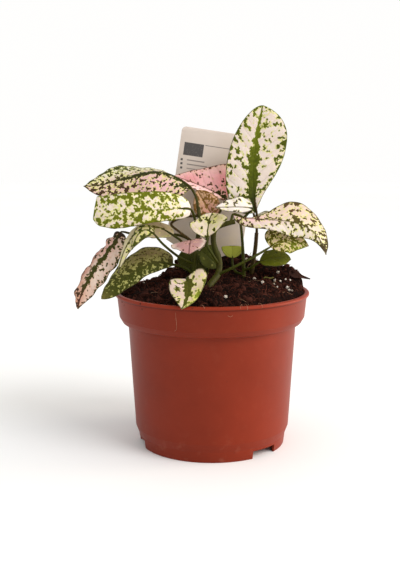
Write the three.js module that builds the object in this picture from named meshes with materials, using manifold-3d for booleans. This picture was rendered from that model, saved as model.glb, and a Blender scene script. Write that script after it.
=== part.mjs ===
// A potted polka dot plant: a nursery pot full of peat, a plastic label, six stems and their leaves.
// Millimetres, +Z up. The origin is the middle of the pot's underside, and -Y is the front.
import * as THREE from "three";
import { mergeVertices } from "three/addons/utils/BufferGeometryUtils.js";
import Module from "manifold-3d";

const wasm = await Module();
wasm.setup();

// Pot
const POT_HEIGHT = 98;
const RIM_RADIUS = 60;
const LIP_RADIUS = 61.4;
const LIP_HEIGHT = 1.8;
const LIP_ROUND = 0.6;
const COLLAR_FOOT = { radius: 58.7, z: 82.6 };
const SHOULDER = { radius: 56.8, z: 79.2 };
const STEP = { radius: 53.2, z: 78 };
const BODY_FOOT = { radius: 49.2, z: 12 };
const FOOT_LINE = { radius: 47.2, z: 6.7 };
const BASE_RADIUS = 46.4;
const WALL = 1.4;
const FLOOR_UNDERSIDE = 4;
const CENTRE_FOOT_RADIUS = 15;
const CENTRE_FOOT_DRAFT = 1;
const POT_SIDES = 40;
const NOTCH = { count: 3, firstAngle: 44, width: 19, height: 5, depth: 8 };
const DRAIN = { count: 6, radius: 4, circle: 31, sides: 12 };

// Soil
const SOIL_INSET = 0.3;
const SOIL_TOP_RADIUS = 57.9;
const SOIL_SHOULDER_Z = 92;
const SOIL_EDGE_Z = 94.5;
const SOIL_MOUND = 12;
const SOIL_MOUND_SHAPE = 0.8;
const SOIL_BUMP = 0.9;
const SOIL_HEAP = { x: 50, y: 14, spread: 18, height: 12 };
const SOIL_RIDGE = { x: 5, y: 28, length: 32, width: 13, height: 14 };
const SOIL_RINGS = 8;

// Gap between pieces that touch on the real plant
const GAP = 0.3;

// Label
const LABEL = {
  width: 50,
  headLength: 74,
  stakeLength: 39,
  shoulder: { in: 17, down: 8 },
  thickness: 0.7,
  corner: 3,
  topLeft: [-19, 22, 201],
  roll: 8.5,
};

// Blades
const BLADE_THICKNESS = 0.7;
const RIB_DEPTH = 0.5;
const TIP_HALF_WIDTH = 0.5;
const WAVE_SHIFT = 2.2;
const END_ROWS = 0.75;
const FLAT_END = 0.2;
const NORMAL_STEP = 0.06;
const PETIOLE_SIDES = 6;
const PETIOLE_RADIUS = 0.9;
const PETIOLE_END_RADIUS = 0.7;
const PETIOLE_SUNK = 0.12;
const PETIOLE_FADE = 8;
const STEM_SIDES = 8;
const STEM_STEPS = 14;

// Each stem runs from inside the soil up through its points; radius is at its foot and at its top.
const STEMS = {
  stem_front: {
    path: [
      [-4, -30, 90], [-1.8, -26, 104], [3.8, -19.5, 111.5], [4.3, -17, 119],
      [0.9, -16, 130], [2.2, -16, 138.6], [8, -15.2, 141.3], [14, -14.6, 142.8],
    ],
    radius: [2.2, 1.5],
  },
  stem_left: {
    path: [[-10, -9, 88], [-11.5, -11, 108], [-10.5, -12.5, 124], [-7.5, -12, 140], [-8.5, -8, 151]],
    radius: [2, 1.2],
  },
  stem_middle: { path: [[21, 0, 90], [20, -1, 112], [19, -3, 130], [17.5, -5, 143]], radius: [1.2, 0.8] },
  stem_right: { path: [[23, 6, 88], [25.5, 5, 110], [27.5, 4, 124], [28.2, 3, 134]], radius: [1.6, 1.2] },
  stem_inner: { path: [[-3, 0, 90], [-3.5, 2, 112], [-3, 4, 130], [1, 4, 141]], radius: [1.6, 1] },
  stem_back: { path: [[2, 36, 86], [1, 36, 110], [0, 35, 132], [1, 34, 146]], radius: [2, 1.2] },
};

// Each leaf: mid is its midrib at 0, 1/3, 2/3 and 1 of its length; face is the way its upper side looks at
// the base and at the tip. The other pairs are for its left and its right half, seen from the base with the
// upper side up: half is the greatest half width, peak where along the blade it lies, base and tip how full
// the outline is there, fold the angles in degrees by which the half leaves the blade's plane at the base and
// at the tip, and curl how much further its edge turns. blunt rounds the tip where it is under 1, wave is the
// edge's height in mm, its number of waves and their phase, lobe how far each half reaches back past the base,
// grid the rows and columns, and petiole the path from the stem to the blade.
const USUAL_LEAF = {
  base: [0.5, 0.5],
  tip: [1.8, 1.8],
  blunt: 0.9,
  curl: [-12, -12],
  wave: [0.6, 2.5, 0],
  lobe: [0, 0],
  grid: [10, 6],
};
const LEAVES = {
  leaf_upright: {
    mid: [[28, 2, 147], [25.5, 1, 169], [27, 0, 190], [31, -2, 213]],
    face: [[0, -1, 0.1], [0, -1, 0.15]],
    half: [17, 19], peak: [0.3, 0.66], base: [0.32, 1.3], tip: [2.2, 3], blunt: 0.6,
    fold: [[6, 6], [8, 8]], wave: [0.9, 2.5, 0], grid: [14, 6],
    petiole: [[28.2, 3, 132], [28.3, 2.6, 140]],
  },
  leaf_big_left: {
    mid: [[-12.9, -4, 162.5], [-34, -1, 172.5], [-55, -3, 168], [-79, -8, 164]],
    face: [[0, -0.75, 0.66], [0, -0.2, 0.98]],
    half: [21, 19], peak: [0.4, 0.5], base: [0.25, 1], tip: [2.6, 1.7],
    fold: [[0, -24], [-70, 46]], curl: [-12, -8], wave: [1, 2.5, 1], grid: [14, 6],
    petiole: [[-8.5, -8, 149], [-9.6, -5.5, 156]],
  },
  leaf_oval_left: {
    mid: [[-13, -16, 150.3], [-34, -25, 150.8], [-55, -27, 148], [-71.5, -23, 145.6]],
    face: [[0, -0.95, 0.3], [-0.1, -0.95, 0.3]],
    half: [8.2, 13.6], peak: [0.75, 0.95], base: [0.18, 0.26], tip: [0.85, 4], blunt: 0.4,
    fold: [[-6, -10], [0, 0]], curl: [-30, -10], wave: [0.7, 2.5, 2], grid: [14, 6],
    petiole: [[-8.5, -12.4, 134], [-10.5, -11.6, 143.5]],
  },
  leaf_pink: {
    mid: [[9, 8, 155], [-2, 9, 161], [-13, 11, 165.5], [-25, 12, 169.6]],
    face: [[-0.2, -0.45, 0.85], [-0.2, -0.5, 0.85]],
    half: [9, 21], peak: [0.4, 0.24], tip: [1.8, 0.85],
    fold: [[14, 14], [44, 42]], curl: [0, -10],
    petiole: [[1, 4, 140], [6, 6, 149]],
  },
  leaf_arched: {
    mid: [[-24, -11, 134], [-40, -16, 139.5], [-51, -22.5, 130], [-56.5, -27, 113]],
    face: [[0, -0.5, 0.85], [-0.7, -0.7, 0.1]],
    half: [7, 10], peak: [0.22, 0.16], base: [0.5, 0.3], tip: [1.8, 1],
    fold: [[-40, -10], [-5, -10]], curl: [-20, -20], wave: [0.5, 3, 0], grid: [12, 6],
    petiole: [[-10.6, -12.4, 117.5], [-14, -13.5, 125], [-19.5, -12, 131]],
  },
  leaf_inner_arch: {
    mid: [[-35, -22.5, 136], [-40.5, -23.8, 138.5], [-45, -25, 135], [-48, -26.4, 127]],
    face: [[0.1, -0.8, 0.5], [-0.6, -0.8, 0.2]],
    half: [5, 5], peak: [0.4, 0.4],
    fold: [[-15, -15], [-15, -15]], wave: [0.3, 2.5, 1], grid: [8, 4],
    petiole: [[-11.2, -11.7, 116], [-20, -19.5, 121.5], [-30, -21.5, 130]],
  },
  leaf_far_left: {
    mid: [[-57.5, -1, 135], [-66, -4, 122.5], [-77, -7, 106.5], [-84, -10, 87.5]],
    face: [[-0.35, -0.7, 0.6], [-0.5, -0.8, 0.25]],
    half: [10, 7.6], peak: [0.45, 0.62], base: [0.4, 0.25], tip: [2.8, 3.4],
    fold: [[-26, -10], [0, 0]], curl: [-10, -25], wave: [0.9, 4.5, 0], grid: [12, 6],
    petiole: [[-10, -12.5, 128], [-18, -8, 133], [-34, -2, 134], [-49, 0, 133.5]],
  },
  leaf_low_left: {
    mid: [[-24, -16, 116.5], [-41, -20, 116], [-55, -23, 107], [-67, -27, 97]],
    face: [[-0.1, -0.75, 0.65], [-0.4, -0.8, 0.5]],
    half: [6.8, 14], peak: [0.5, 0.3], base: [0.5, 0.32], tip: [2.2, 1.4], blunt: 0.7,
    fold: [[-6, -6], [4, 4]], curl: [-10, -20], wave: [0.6, 3, 1], grid: [12, 6],
    petiole: [[-11.5, -11, 110], [-17, -13, 114]],
  },
  leaf_small_drooping: {
    mid: [[-12.5, -20, 132], [-13, -24.5, 131.5], [-13.4, -29, 129.3], [-13.7, -33, 125]],
    face: [[0, -0.3, 0.95], [0, -0.6, 0.8]],
    half: [10, 12], peak: [0.45, 0.4],
    fold: [[16, 0], [-6, -6]], curl: [0, -20], grid: [8, 4],
    petiole: [[-9, -9.2, 146], [-18, -12.5, 145.2], [-25, -15.5, 141.5], [-20, -18.5, 137]],
  },
  leaf_heart: {
    mid: [[-14.9, -43, 111.6], [-13.7, -49.5, 108], [-14.3, -56, 102.6], [-17.3, -62, 97.4]],
    face: [[-0.05, -0.75, 0.65], [-0.1, -0.85, 0.5]],
    half: [11.5, 11.5], peak: [0.3, 0.46], base: [0.5, 0.5], tip: [1.02, 1.7], lobe: [14, 12],
    fold: [[10, 10], [6, 6]], curl: [-14, -14],
    petiole: [[-11.5, -11, 108.5], [-11, -20, 111], [-12.5, -31, 111.8]],
  },
  leaf_long_right: {
    mid: [[13, -13, 147], [34, -14, 144], [56, -12, 140], [70.5, -12, 122]],
    face: [[0, -0.3, 0.95], [0.45, -0.35, 0.8]],
    half: [15.6, 8], peak: [0.6, 0.5], base: [3.8, 0.6], tip: [1.6, 1.8],
    fold: [[0, 24], [-50, -50]], curl: [20, -20], wave: [1.6, 1.6, 2.4], grid: [14, 6],
    petiole: [[11.5, -15, 142.2], [12, -14.2, 144.5]],
  },
  leaf_mottled: {
    mid: [[36, -13, 127], [43, -11, 130], [51, -9, 130], [60, -8, 127]],
    face: [[0, -0.8, 0.6], [0.1, -0.8, 0.6]],
    half: [12, 8], peak: [0.3, 0.5], base: [0.35, 0.5],
    fold: [[4, 4], [0, 0]], curl: [-20, -20],
    petiole: [[3, -20.4, 110.6], [12, -21.5, 115], [24, -20, 121], [32, -16, 125]],
  },
  leaf_cream_centre: {
    mid: [[-3, -22.5, 133.5], [-2.5, -19.5, 138.5], [-1.5, -15.5, 143.5], [0.5, -11.5, 148]],
    face: [[-0.45, -0.65, 0.65], [-0.45, -0.6, 0.7]],
    half: [11.5, 13], peak: [0.5, 0.66], base: [0.9, 1.1], tip: [1.3, 1.6],
    fold: [[24, 24], [10, 10]], curl: [-10, -10], grid: [10, 6],
    petiole: [[4.5, -17.4, 116], [0.5, -21, 123], [-3, -22, 129]],
  },
  leaf_white: {
    mid: [[25, -5, 150], [18, -6, 151], [10, -7, 151], [2, -8, 151]],
    face: [[0, -0.8, 0.6], [0, -0.8, 0.6]],
    half: [4, 8], peak: [0.4, 0.3],
    fold: [[0, 0], [0, 0]], curl: [0, -10], grid: [8, 4],
    petiole: [[17.5, -5, 142], [22, -4.5, 146.5]],
  },
  leaf_young: {
    mid: [[1, -0.8, 144], [-2.5, -0.6, 150], [-6, -0.4, 156], [-9.5, 0, 161]],
    face: [[-0.2, -0.9, 0.35], [-0.3, -0.9, 0.35]],
    half: [8.5, 8.5], peak: [0.4, 0.4],
    fold: [[14, 14], [14, 14]], grid: [8, 4],
    petiole: [[1, 4, 138], [0.5, 1.2, 141.5]],
  },
  seed_leaf_round: {
    mid: [[30, -6, 117], [36.5, -6, 119], [43, -5, 119.5], [49.5, -4, 118]],
    face: [[0, -0.55, 0.83], [0, -0.55, 0.83]],
    half: [8, 8], peak: [0.5, 0.5], tip: [2.6, 2.6],
    fold: [[4, 4], [4, 4]], curl: [-8, -8], wave: [0, 0, 0], grid: [8, 4],
    petiole: [[20.2, -1, 111], [24, -4, 112.5], [27, -6, 115]],
  },
  seed_leaf_small: {
    mid: [[13, 5, 118], [13, 6.7, 120.4], [13, 8.4, 122.8], [13, 10, 125]],
    face: [[0, -0.75, 0.65], [0, -0.75, 0.65]],
    half: [7, 7], peak: [0.8, 0.8], tip: [3, 3],
    fold: [[6, 6], [6, 6]], curl: [0, 0], wave: [0, 0, 0], grid: [6, 4],
    petiole: [[19.8, -1, 108.5], [15.5, 2.5, 109], [13.2, 4.2, 113]],
  },
  seed_leaf_centre: {
    mid: [[3.7, -10, 114.5], [0, -10.7, 118.3], [-3.7, -11.3, 122], [-7.2, -12, 125]],
    face: [[0, -0.8, 0.6], [0, -0.8, 0.6]],
    half: [7, 8], peak: [0.5, 0.5], tip: [2.8, 2.8],
    fold: [[8, 8], [8, 8]], curl: [0, 0], wave: [0, 0, 0], grid: [6, 4],
    petiole: [[4.2, -17.8, 114], [5.2, -13.5, 113]],
  },
  seed_leaf_left: {
    mid: [[-3, -4, 113.5], [-9.5, -4.3, 116], [-16, -4.7, 117.5], [-22, -5, 118]],
    face: [[0, -0.75, 0.65], [0, -0.75, 0.65]],
    half: [8, 9], peak: [0.5, 0.5], tip: [2.8, 2.8],
    fold: [[6, 6], [6, 6]], curl: [0, 0], wave: [0, 0, 0], grid: [6, 4],
    petiole: [[-3.4, 1, 109.5], [-2.6, -2.5, 111.5]],
  },
  leaf_back_left: {
    mid: [[-16, 38, 140], [-32, 44, 146], [-48, 50, 145], [-64, 54, 137]],
    face: [[0, 0.3, 0.95], [-0.3, 0.35, 0.9]],
    half: [14, 14], peak: [0.4, 0.4],
    fold: [[6, 6], [6, 6]], curl: [-16, -16], wave: [0.8, 2.5, 0], grid: [8, 6],
    petiole: [[0.5, 35, 128], [-6, 36, 135]],
  },
  leaf_back_upright: {
    mid: [[26, 8, 148], [25, 11, 162], [27, 14, 175], [29, 17, 187]],
    face: [[0, 0.7, 0.7], [0, 0.9, 0.4]],
    half: [8, 8], peak: [0.4, 0.4],
    fold: [[8, 8], [8, 8]], wave: [0.6, 2.5, 1], grid: [8, 4],
    petiole: [[27.7, 4, 126], [28.5, 7, 136]],
  },
  leaf_back_right: {
    mid: [[22, 33, 138], [36, 36, 143], [50, 38, 141], [63, 40, 132]],
    face: [[0.1, 0.3, 0.95], [0.4, 0.3, 0.85]],
    half: [13, 13], peak: [0.42, 0.42],
    fold: [[4, 4], [4, 4]], curl: [-14, -14], wave: [0.8, 2.5, 2], grid: [8, 6],
    petiole: [[0.5, 35, 126], [8, 33, 132], [15, 33, 136]],
  },
  leaf_back_tall: {
    mid: [[-2, 37, 156], [-6, 44, 168], [-9, 52, 178], [-11, 61, 185]],
    face: [[0, 0.8, 0.6], [0, 0.6, 0.8]],
    half: [13, 13], peak: [0.4, 0.4],
    fold: [[8, 8], [8, 8]], curl: [-10, -10], wave: [0.8, 2.5, 0], grid: [8, 6],
    petiole: [[1, 34, 145], [0, 35, 151]],
  },
};

const COLOUR = {
  pot: 0x9c4632,
  soil: 0x2a1d15,
  label: 0xd9cfc4,
  stem: 0x5d6b25,
  cream: 0xe6dccb,
  pink: 0xdca6a8,
  green: 0x5b7a28,
};
const GREEN_LEAVES = ["seed_leaf_round", "seed_leaf_small", "seed_leaf_centre", "seed_leaf_left", "leaf_low_left"];
const PINK_LEAVES = ["leaf_pink", "leaf_young", "leaf_small_drooping"];

function material(color, roughness) {
  return new THREE.MeshStandardMaterial({ color, roughness, metalness: 0 });
}

// Solids for joining and cutting

function solid(geometry) {
  const bare = geometry.clone();
  bare.deleteAttribute("normal");
  bare.deleteAttribute("uv");
  const merged = mergeVertices(bare, 1e-4);
  return new wasm.Manifold(
    new wasm.Mesh({
      numProp: 3,
      vertProperties: merged.attributes.position.array,
      triVerts: new Uint32Array(merged.index.array),
    }),
  );
}

// The largest body of a solid, as a geometry: a cut can leave a sliver beyond what was cut away.
function largestBody(made) {
  const bodies = made.decompose();
  const body = bodies.reduce((a, b) => (a.volume() > b.volume() ? a : b));
  const mesh = body.getMesh();
  const flat = new Float32Array(mesh.numVert * 3);
  for (let i = 0; i < mesh.numVert; i++) {
    flat.set(mesh.vertProperties.subarray(i * mesh.numProp, i * mesh.numProp + 3), i * 3);
  }
  const geometry = new THREE.BufferGeometry();
  geometry.setAttribute("position", new THREE.BufferAttribute(flat, 3));
  geometry.setIndex(new THREE.BufferAttribute(new Uint32Array(mesh.triVerts), 1));
  geometry.computeVertexNormals();
  return geometry;
}

function vector(p) {
  return new THREE.Vector3(p[0], p[1], p[2]);
}

function closedGeometry(points, faces) {
  const geometry = new THREE.BufferGeometry();
  const flat = points.flatMap((p) => [p.x, p.y, p.z]);
  geometry.setAttribute("position", new THREE.Float32BufferAttribute(flat, 3));
  geometry.setIndex(faces);
  geometry.computeVertexNormals();
  return geometry;
}

// A tapered round tube through its points, closed at both ends.
function tube(path, radii, sides, steps) {
  const curve = new THREE.CatmullRomCurve3(path.map(vector), false, "centripetal");
  const frames = curve.computeFrenetFrames(steps, false);
  const points = [];
  const faces = [];
  for (let i = 0; i <= steps; i++) {
    const centre = curve.getPointAt(i / steps);
    const radius = THREE.MathUtils.lerp(radii[0], radii[1], i / steps);
    for (let k = 0; k < sides; k++) {
      const angle = (2 * Math.PI * k) / sides;
      points.push(
        centre
          .clone()
          .addScaledVector(frames.normals[i], radius * Math.cos(angle))
          .addScaledVector(frames.binormals[i], radius * Math.sin(angle)),
      );
    }
  }
  for (let i = 0; i < steps; i++) {
    for (let k = 0; k < sides; k++) {
      const a = i * sides + k;
      const b = i * sides + ((k + 1) % sides);
      faces.push(a, b, b + sides, a, b + sides, a + sides);
    }
  }
  for (const [ring, turned] of [[0, true], [steps, false]]) {
    const centre = points.length;
    points.push(curve.getPointAt(ring / steps));
    for (let k = 0; k < sides; k++) {
      const a = ring * sides + k;
      const b = ring * sides + ((k + 1) % sides);
      faces.push(...(turned ? [centre, b, a] : [centre, a, b]));
    }
  }
  return closedGeometry(points, faces);
}

// Blades

// The cubic through four points at 0, 1/3, 2/3 and 1.
function midribPoint(mid, u) {
  const t = 3 * u;
  const weights = [
    -((t - 1) * (t - 2) * (t - 3)) / 6,
    (t * (t - 2) * (t - 3)) / 2,
    -(t * (t - 1) * (t - 3)) / 2,
    (t * (t - 1) * (t - 2)) / 6,
  ];
  const point = new THREE.Vector3();
  mid.forEach((p, i) => point.addScaledVector(vector(p), weights[i]));
  return point;
}

// A half blade's width along the blade, 0 to 1: round at the base, greatest at the peak, pointed at the tip.
function outline(u, peak, base, tip, blunt) {
  if (u < peak) {
    return (1 - (1 - u / peak) ** 2) ** base;
  }
  return (1 - ((u - peak) / (1 - peak)) ** tip) ** blunt;
}

// A point of the blade at u along it and s across it, from -1 at the left edge to 1 at the right one.
function bladePoint(leaf, u, s) {
  const step = 0.01;
  const centre = midribPoint(leaf.mid, u);
  const along = midribPoint(leaf.mid, u + step).sub(midribPoint(leaf.mid, u - step)).normalize();
  const up = vector(leaf.face[0]).lerp(vector(leaf.face[1]), u);
  up.addScaledVector(along, -up.dot(along)).normalize();
  const right = along.clone().cross(up);
  const side = s < 0 ? 0 : 1;
  const share = outline(u, leaf.peak[side], leaf.base[side], leaf.tip[side], leaf.blunt);
  const width = Math.max(leaf.half[side] * share, TIP_HALF_WIDTH, PETIOLE_RADIUS * (1 - u) ** PETIOLE_FADE);
  const fold = THREE.MathUtils.lerp(...leaf.fold[side], u);
  const turned = (fold + (leaf.curl[side] * Math.abs(s)) / 2) * Math.min(1, share / FLAT_END);
  const angle = THREE.MathUtils.degToRad(turned);
  const [height, count, phase] = leaf.wave;
  const turn = 2 * Math.PI * count * u + phase + WAVE_SHIFT * side;
  const ripple = height * s * s * share * Math.sin(turn);
  const back = leaf.lobe[side] * s * s * (width / leaf.half[side]) * (1 - u) ** 2;
  return centre
    .addScaledVector(along, -back)
    .addScaledVector(right, width * s * Math.cos(angle))
    .addScaledVector(up, width * Math.abs(s) * Math.sin(angle) + ripple);
}

// The blade as one closed thin body, both faces split into triangles alike, with a rib under its midline.
function blade(leaf) {
  const [rows, columns] = leaf.grid;
  const upper = [];
  const lower = [];
  for (let i = 0; i <= rows; i++) {
    const u = THREE.MathUtils.lerp(i / rows, 0.5 - 0.5 * Math.cos((Math.PI * i) / rows), END_ROWS);
    for (let j = 0; j <= columns; j++) {
      const s = (2 * j) / columns - 1;
      const point = bladePoint(leaf, u, s);
      const inU = Math.min(Math.max(u, NORMAL_STEP), 1 - NORMAL_STEP);
      const inS = s * (1 - NORMAL_STEP);
      const alongU = bladePoint(leaf, inU + NORMAL_STEP / 2, inS).sub(bladePoint(leaf, inU - NORMAL_STEP / 2, inS));
      const acrossS = bladePoint(leaf, inU, inS + NORMAL_STEP / 2).sub(bladePoint(leaf, inU, inS - NORMAL_STEP / 2));
      const normal = acrossS.cross(alongU).normalize();
      const rib = s === 0 ? RIB_DEPTH * (1 - u) : 0;
      upper.push(point.clone().addScaledVector(normal, BLADE_THICKNESS / 2));
      lower.push(point.clone().addScaledVector(normal, -BLADE_THICKNESS / 2 - rib));
    }
  }
  const faces = [];
  const across = columns + 1;
  const below = upper.length;
  const quad = (a, b, c, d) => faces.push(a, b, c, a, c, d);
  for (let i = 0; i < rows; i++) {
    for (let j = 0; j < columns; j++) {
      const a = i * across + j;
      const b = a + 1;
      const c = b + across;
      const d = a + across;
      quad(a, b, c, d);
      faces.push(below + a, below + c, below + b, below + a, below + d, below + c);
    }
    const left = i * across;
    const right = left + columns;
    quad(left, left + across, below + left + across, below + left);
    quad(right, below + right, below + right + across, right + across);
  }
  const last = rows * across;
  for (let j = 0; j < columns; j++) {
    quad(j, below + j, below + j + 1, j + 1);
    quad(last + j, last + j + 1, below + last + j + 1, below + last + j);
  }
  return closedGeometry([...upper, ...lower], faces);
}

// A leaf's blade and petiole joined; the petiole ends just clear of its stem.
function leafSolid(leaf) {
  const sunk = midribPoint(leaf.mid, PETIOLE_SUNK).toArray();
  const path = [...leaf.petiole, leaf.mid[0], sunk];
  const steps = path.length + 2;
  const stalk = tube(path, [PETIOLE_RADIUS, PETIOLE_END_RADIUS], PETIOLE_SIDES, steps);
  return solid(blade(leaf)).add(solid(stalk));
}

// A stem, or with grow the room that it needs: wider, and longer at both ends.
function stemGeometry(stem, grow) {
  const ends = [stem.path[0], stem.path.at(-1)].map(vector);
  const foot = ends[0].clone().addScaledVector(vector(stem.path[1]).sub(ends[0]).normalize(), -grow);
  const top = ends[1].clone().addScaledVector(vector(stem.path.at(-2)).sub(ends[1]).normalize(), -grow);
  const path = [foot.toArray(), ...stem.path.slice(1, -1), top.toArray()];
  const radii = stem.radius.map((r) => r + grow);
  return tube(path, radii, STEM_SIDES, STEM_STEPS);
}

// Pot

function potProfile() {
  const inner = (point) => new THREE.Vector2(point.radius - WALL, point.z);
  const outer = (point) => new THREE.Vector2(point.radius, point.z);
  return [
    new THREE.Vector2(0, 0),
    new THREE.Vector2(CENTRE_FOOT_RADIUS, 0),
    new THREE.Vector2(CENTRE_FOOT_RADIUS + CENTRE_FOOT_DRAFT, FLOOR_UNDERSIDE),
    new THREE.Vector2(BASE_RADIUS - WALL, FLOOR_UNDERSIDE),
    new THREE.Vector2(BASE_RADIUS - WALL, 0),
    new THREE.Vector2(BASE_RADIUS, 0),
    outer(FOOT_LINE),
    outer(BODY_FOOT),
    outer(STEP),
    outer(SHOULDER),
    outer(COLLAR_FOOT),
    new THREE.Vector2(RIM_RADIUS, POT_HEIGHT - LIP_HEIGHT - LIP_ROUND),
    new THREE.Vector2(LIP_RADIUS, POT_HEIGHT - LIP_HEIGHT),
    new THREE.Vector2(LIP_RADIUS, POT_HEIGHT - LIP_ROUND),
    new THREE.Vector2(LIP_RADIUS - LIP_ROUND, POT_HEIGHT),
    new THREE.Vector2(RIM_RADIUS - WALL, POT_HEIGHT),
    new THREE.Vector2(COLLAR_FOOT.radius - WALL, COLLAR_FOOT.z + WALL),
    new THREE.Vector2(STEP.radius - WALL, STEP.z + WALL),
    inner(BODY_FOOT),
    new THREE.Vector2(BASE_RADIUS - WALL, FLOOR_UNDERSIDE + WALL),
    new THREE.Vector2(CENTRE_FOOT_RADIUS, FLOOR_UNDERSIDE + WALL),
    new THREE.Vector2(CENTRE_FOOT_RADIUS - WALL, WALL),
    new THREE.Vector2(0, WALL),
  ];
}

// LatheGeometry turns its profile about Y, so the pot is stood up by a quarter turn about X.
function potGeometry() {
  const lathe = new THREE.LatheGeometry(potProfile(), POT_SIDES);
  lathe.rotateX(Math.PI / 2);
  let pot = solid(lathe);
  for (let i = 0; i < NOTCH.count; i++) {
    const angle = THREE.MathUtils.degToRad(NOTCH.firstAngle - 90 + (360 / NOTCH.count) * i);
    const box = new THREE.BoxGeometry(NOTCH.depth, NOTCH.width, 2 * NOTCH.height);
    box.translate(BASE_RADIUS, 0, 0);
    box.rotateZ(angle);
    pot = pot.subtract(solid(box));
  }
  for (let i = 0; i < DRAIN.count; i++) {
    const angle = (2 * Math.PI * i) / DRAIN.count;
    const hole = new THREE.CylinderGeometry(DRAIN.radius, DRAIN.radius, 4 * WALL, DRAIN.sides);
    hole.rotateX(Math.PI / 2);
    hole.translate(DRAIN.circle * Math.cos(angle), DRAIN.circle * Math.sin(angle), FLOOR_UNDERSIDE);
    pot = pot.subtract(solid(hole));
  }
  return largestBody(pot);
}

// Soil

// The surface of the soil: level at the rim, mounded round the stems, heaped at the back right, and with a
// ridge behind the stems.
function soilHeight(x, y) {
  const edge = RIM_RADIUS - WALL;
  const share = Math.min((x * x + y * y) / (edge * edge), 1);
  const heapX = (x - SOIL_HEAP.x) / SOIL_HEAP.spread;
  const heapY = (y - SOIL_HEAP.y) / SOIL_HEAP.spread;
  const heap = SOIL_HEAP.height * Math.exp(-heapX * heapX - heapY * heapY);
  const ridgeX = (x - SOIL_RIDGE.x) / SOIL_RIDGE.length;
  const ridgeY = (y - SOIL_RIDGE.y) / SOIL_RIDGE.width;
  const ridge = SOIL_RIDGE.height * Math.exp(-(ridgeX ** 4) - ridgeY * ridgeY);
  const bumps = Math.sin(0.31 * x + 1) * Math.cos(0.27 * y) + 0.6 * Math.sin(0.39 * x - 0.4 * y);
  return SOIL_EDGE_Z + SOIL_MOUND * (1 - share) ** SOIL_MOUND_SHAPE + heap + ridge + SOIL_BUMP * bumps;
}

function soilGeometry() {
  const shoulderShare = (SOIL_SHOULDER_Z - COLLAR_FOOT.z) / (POT_HEIGHT - COLLAR_FOOT.z);
  const wall = [
    [THREE.MathUtils.lerp(COLLAR_FOOT.radius, RIM_RADIUS, shoulderShare), SOIL_SHOULDER_Z],
    [COLLAR_FOOT.radius, COLLAR_FOOT.z + WALL + SOIL_INSET],
    [STEP.radius, STEP.z + WALL + SOIL_INSET],
    [BODY_FOOT.radius, BODY_FOOT.z],
    [BASE_RADIUS, FLOOR_UNDERSIDE + WALL + SOIL_INSET],
  ];
  const inset = WALL + SOIL_INSET;
  const points = [];
  const faces = [];
  const ringPoints = (radius, height) => {
    for (let k = 0; k < POT_SIDES; k++) {
      const angle = (2 * Math.PI * k) / POT_SIDES;
      const x = radius * Math.cos(angle);
      const y = radius * Math.sin(angle);
      points.push(new THREE.Vector3(x, y, height(x, y)));
    }
  };
  points.push(new THREE.Vector3(0, 0, soilHeight(0, 0)));
  for (let i = 1; i <= SOIL_RINGS; i++) {
    ringPoints((SOIL_TOP_RADIUS * i) / SOIL_RINGS, soilHeight);
  }
  for (const [radius, z] of wall) {
    ringPoints(radius - inset, () => z);
  }
  const rings = SOIL_RINGS + wall.length;
  for (let i = 0; i < rings - 1; i++) {
    for (let k = 0; k < POT_SIDES; k++) {
      const a = 1 + i * POT_SIDES + k;
      const b = 1 + i * POT_SIDES + ((k + 1) % POT_SIDES);
      faces.push(a, a + POT_SIDES, b + POT_SIDES, a, b + POT_SIDES, b);
    }
  }
  const last = 1 + (rings - 1) * POT_SIDES;
  const bottom = points.length;
  points.push(new THREE.Vector3(0, 0, wall.at(-1)[1]));
  for (let k = 0; k < POT_SIDES; k++) {
    const next = (k + 1) % POT_SIDES;
    faces.push(0, 1 + k, 1 + next);
    faces.push(bottom, last + next, last + k);
  }
  return closedGeometry(points, faces);
}

// Label: a plate with rounded corners that narrows to a stake.
function labelGeometry(grow) {
  const half = LABEL.width / 2 + grow;
  const top = grow;
  const head = -LABEL.headLength;
  const tip = head - LABEL.stakeLength - 2 * grow;
  const corner = LABEL.corner;
  const shape = new THREE.Shape();
  shape.moveTo(-half, head);
  shape.lineTo(-half + LABEL.shoulder.in, head - LABEL.shoulder.down);
  shape.lineTo(0, tip);
  shape.lineTo(half - LABEL.shoulder.in, head - LABEL.shoulder.down);
  shape.lineTo(half, head);
  shape.lineTo(half, top - corner);
  shape.quadraticCurveTo(half, top, half - corner, top);
  shape.lineTo(-half + corner, top);
  shape.quadraticCurveTo(-half, top, -half, top - corner);
  const depth = LABEL.thickness + 2 * grow;
  const plate = new THREE.ExtrudeGeometry(shape, { depth, bevelEnabled: false, curveSegments: 4 });
  plate.translate(LABEL.width / 2, 0, -depth / 2);
  plate.rotateX(Math.PI / 2);
  plate.rotateY(THREE.MathUtils.degToRad(LABEL.roll));
  plate.translate(...LABEL.topLeft);
  return plate;
}

// Assembly

const plant = new THREE.Group();

function addPiece(name, geometry, color, roughness) {
  const mesh = new THREE.Mesh(geometry, material(color, roughness));
  mesh.name = name;
  plant.add(mesh);
}

addPiece("pot", potGeometry(), COLOUR.pot, 0.45);
addPiece("label", labelGeometry(0), COLOUR.label, 0.5);

for (const [name, stem] of Object.entries(STEMS)) {
  addPiece(name, stemGeometry(stem, 0), COLOUR.stem, 0.6);
}

// The room that all stems need, cut out of the leaves and of the soil
const stemRoom = Object.values(STEMS)
  .map((stem) => solid(stemGeometry(stem, GAP)))
  .reduce((all, room) => all.add(room));

for (const [name, shape] of Object.entries(LEAVES)) {
  const leaf = leafSolid({ ...USUAL_LEAF, ...shape }).subtract(stemRoom);
  let color = COLOUR.cream;
  if (GREEN_LEAVES.includes(name)) {
    color = COLOUR.green;
  }
  if (PINK_LEAVES.includes(name)) {
    color = COLOUR.pink;
  }
  addPiece(name, largestBody(leaf), color, 0.55);
}

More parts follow.
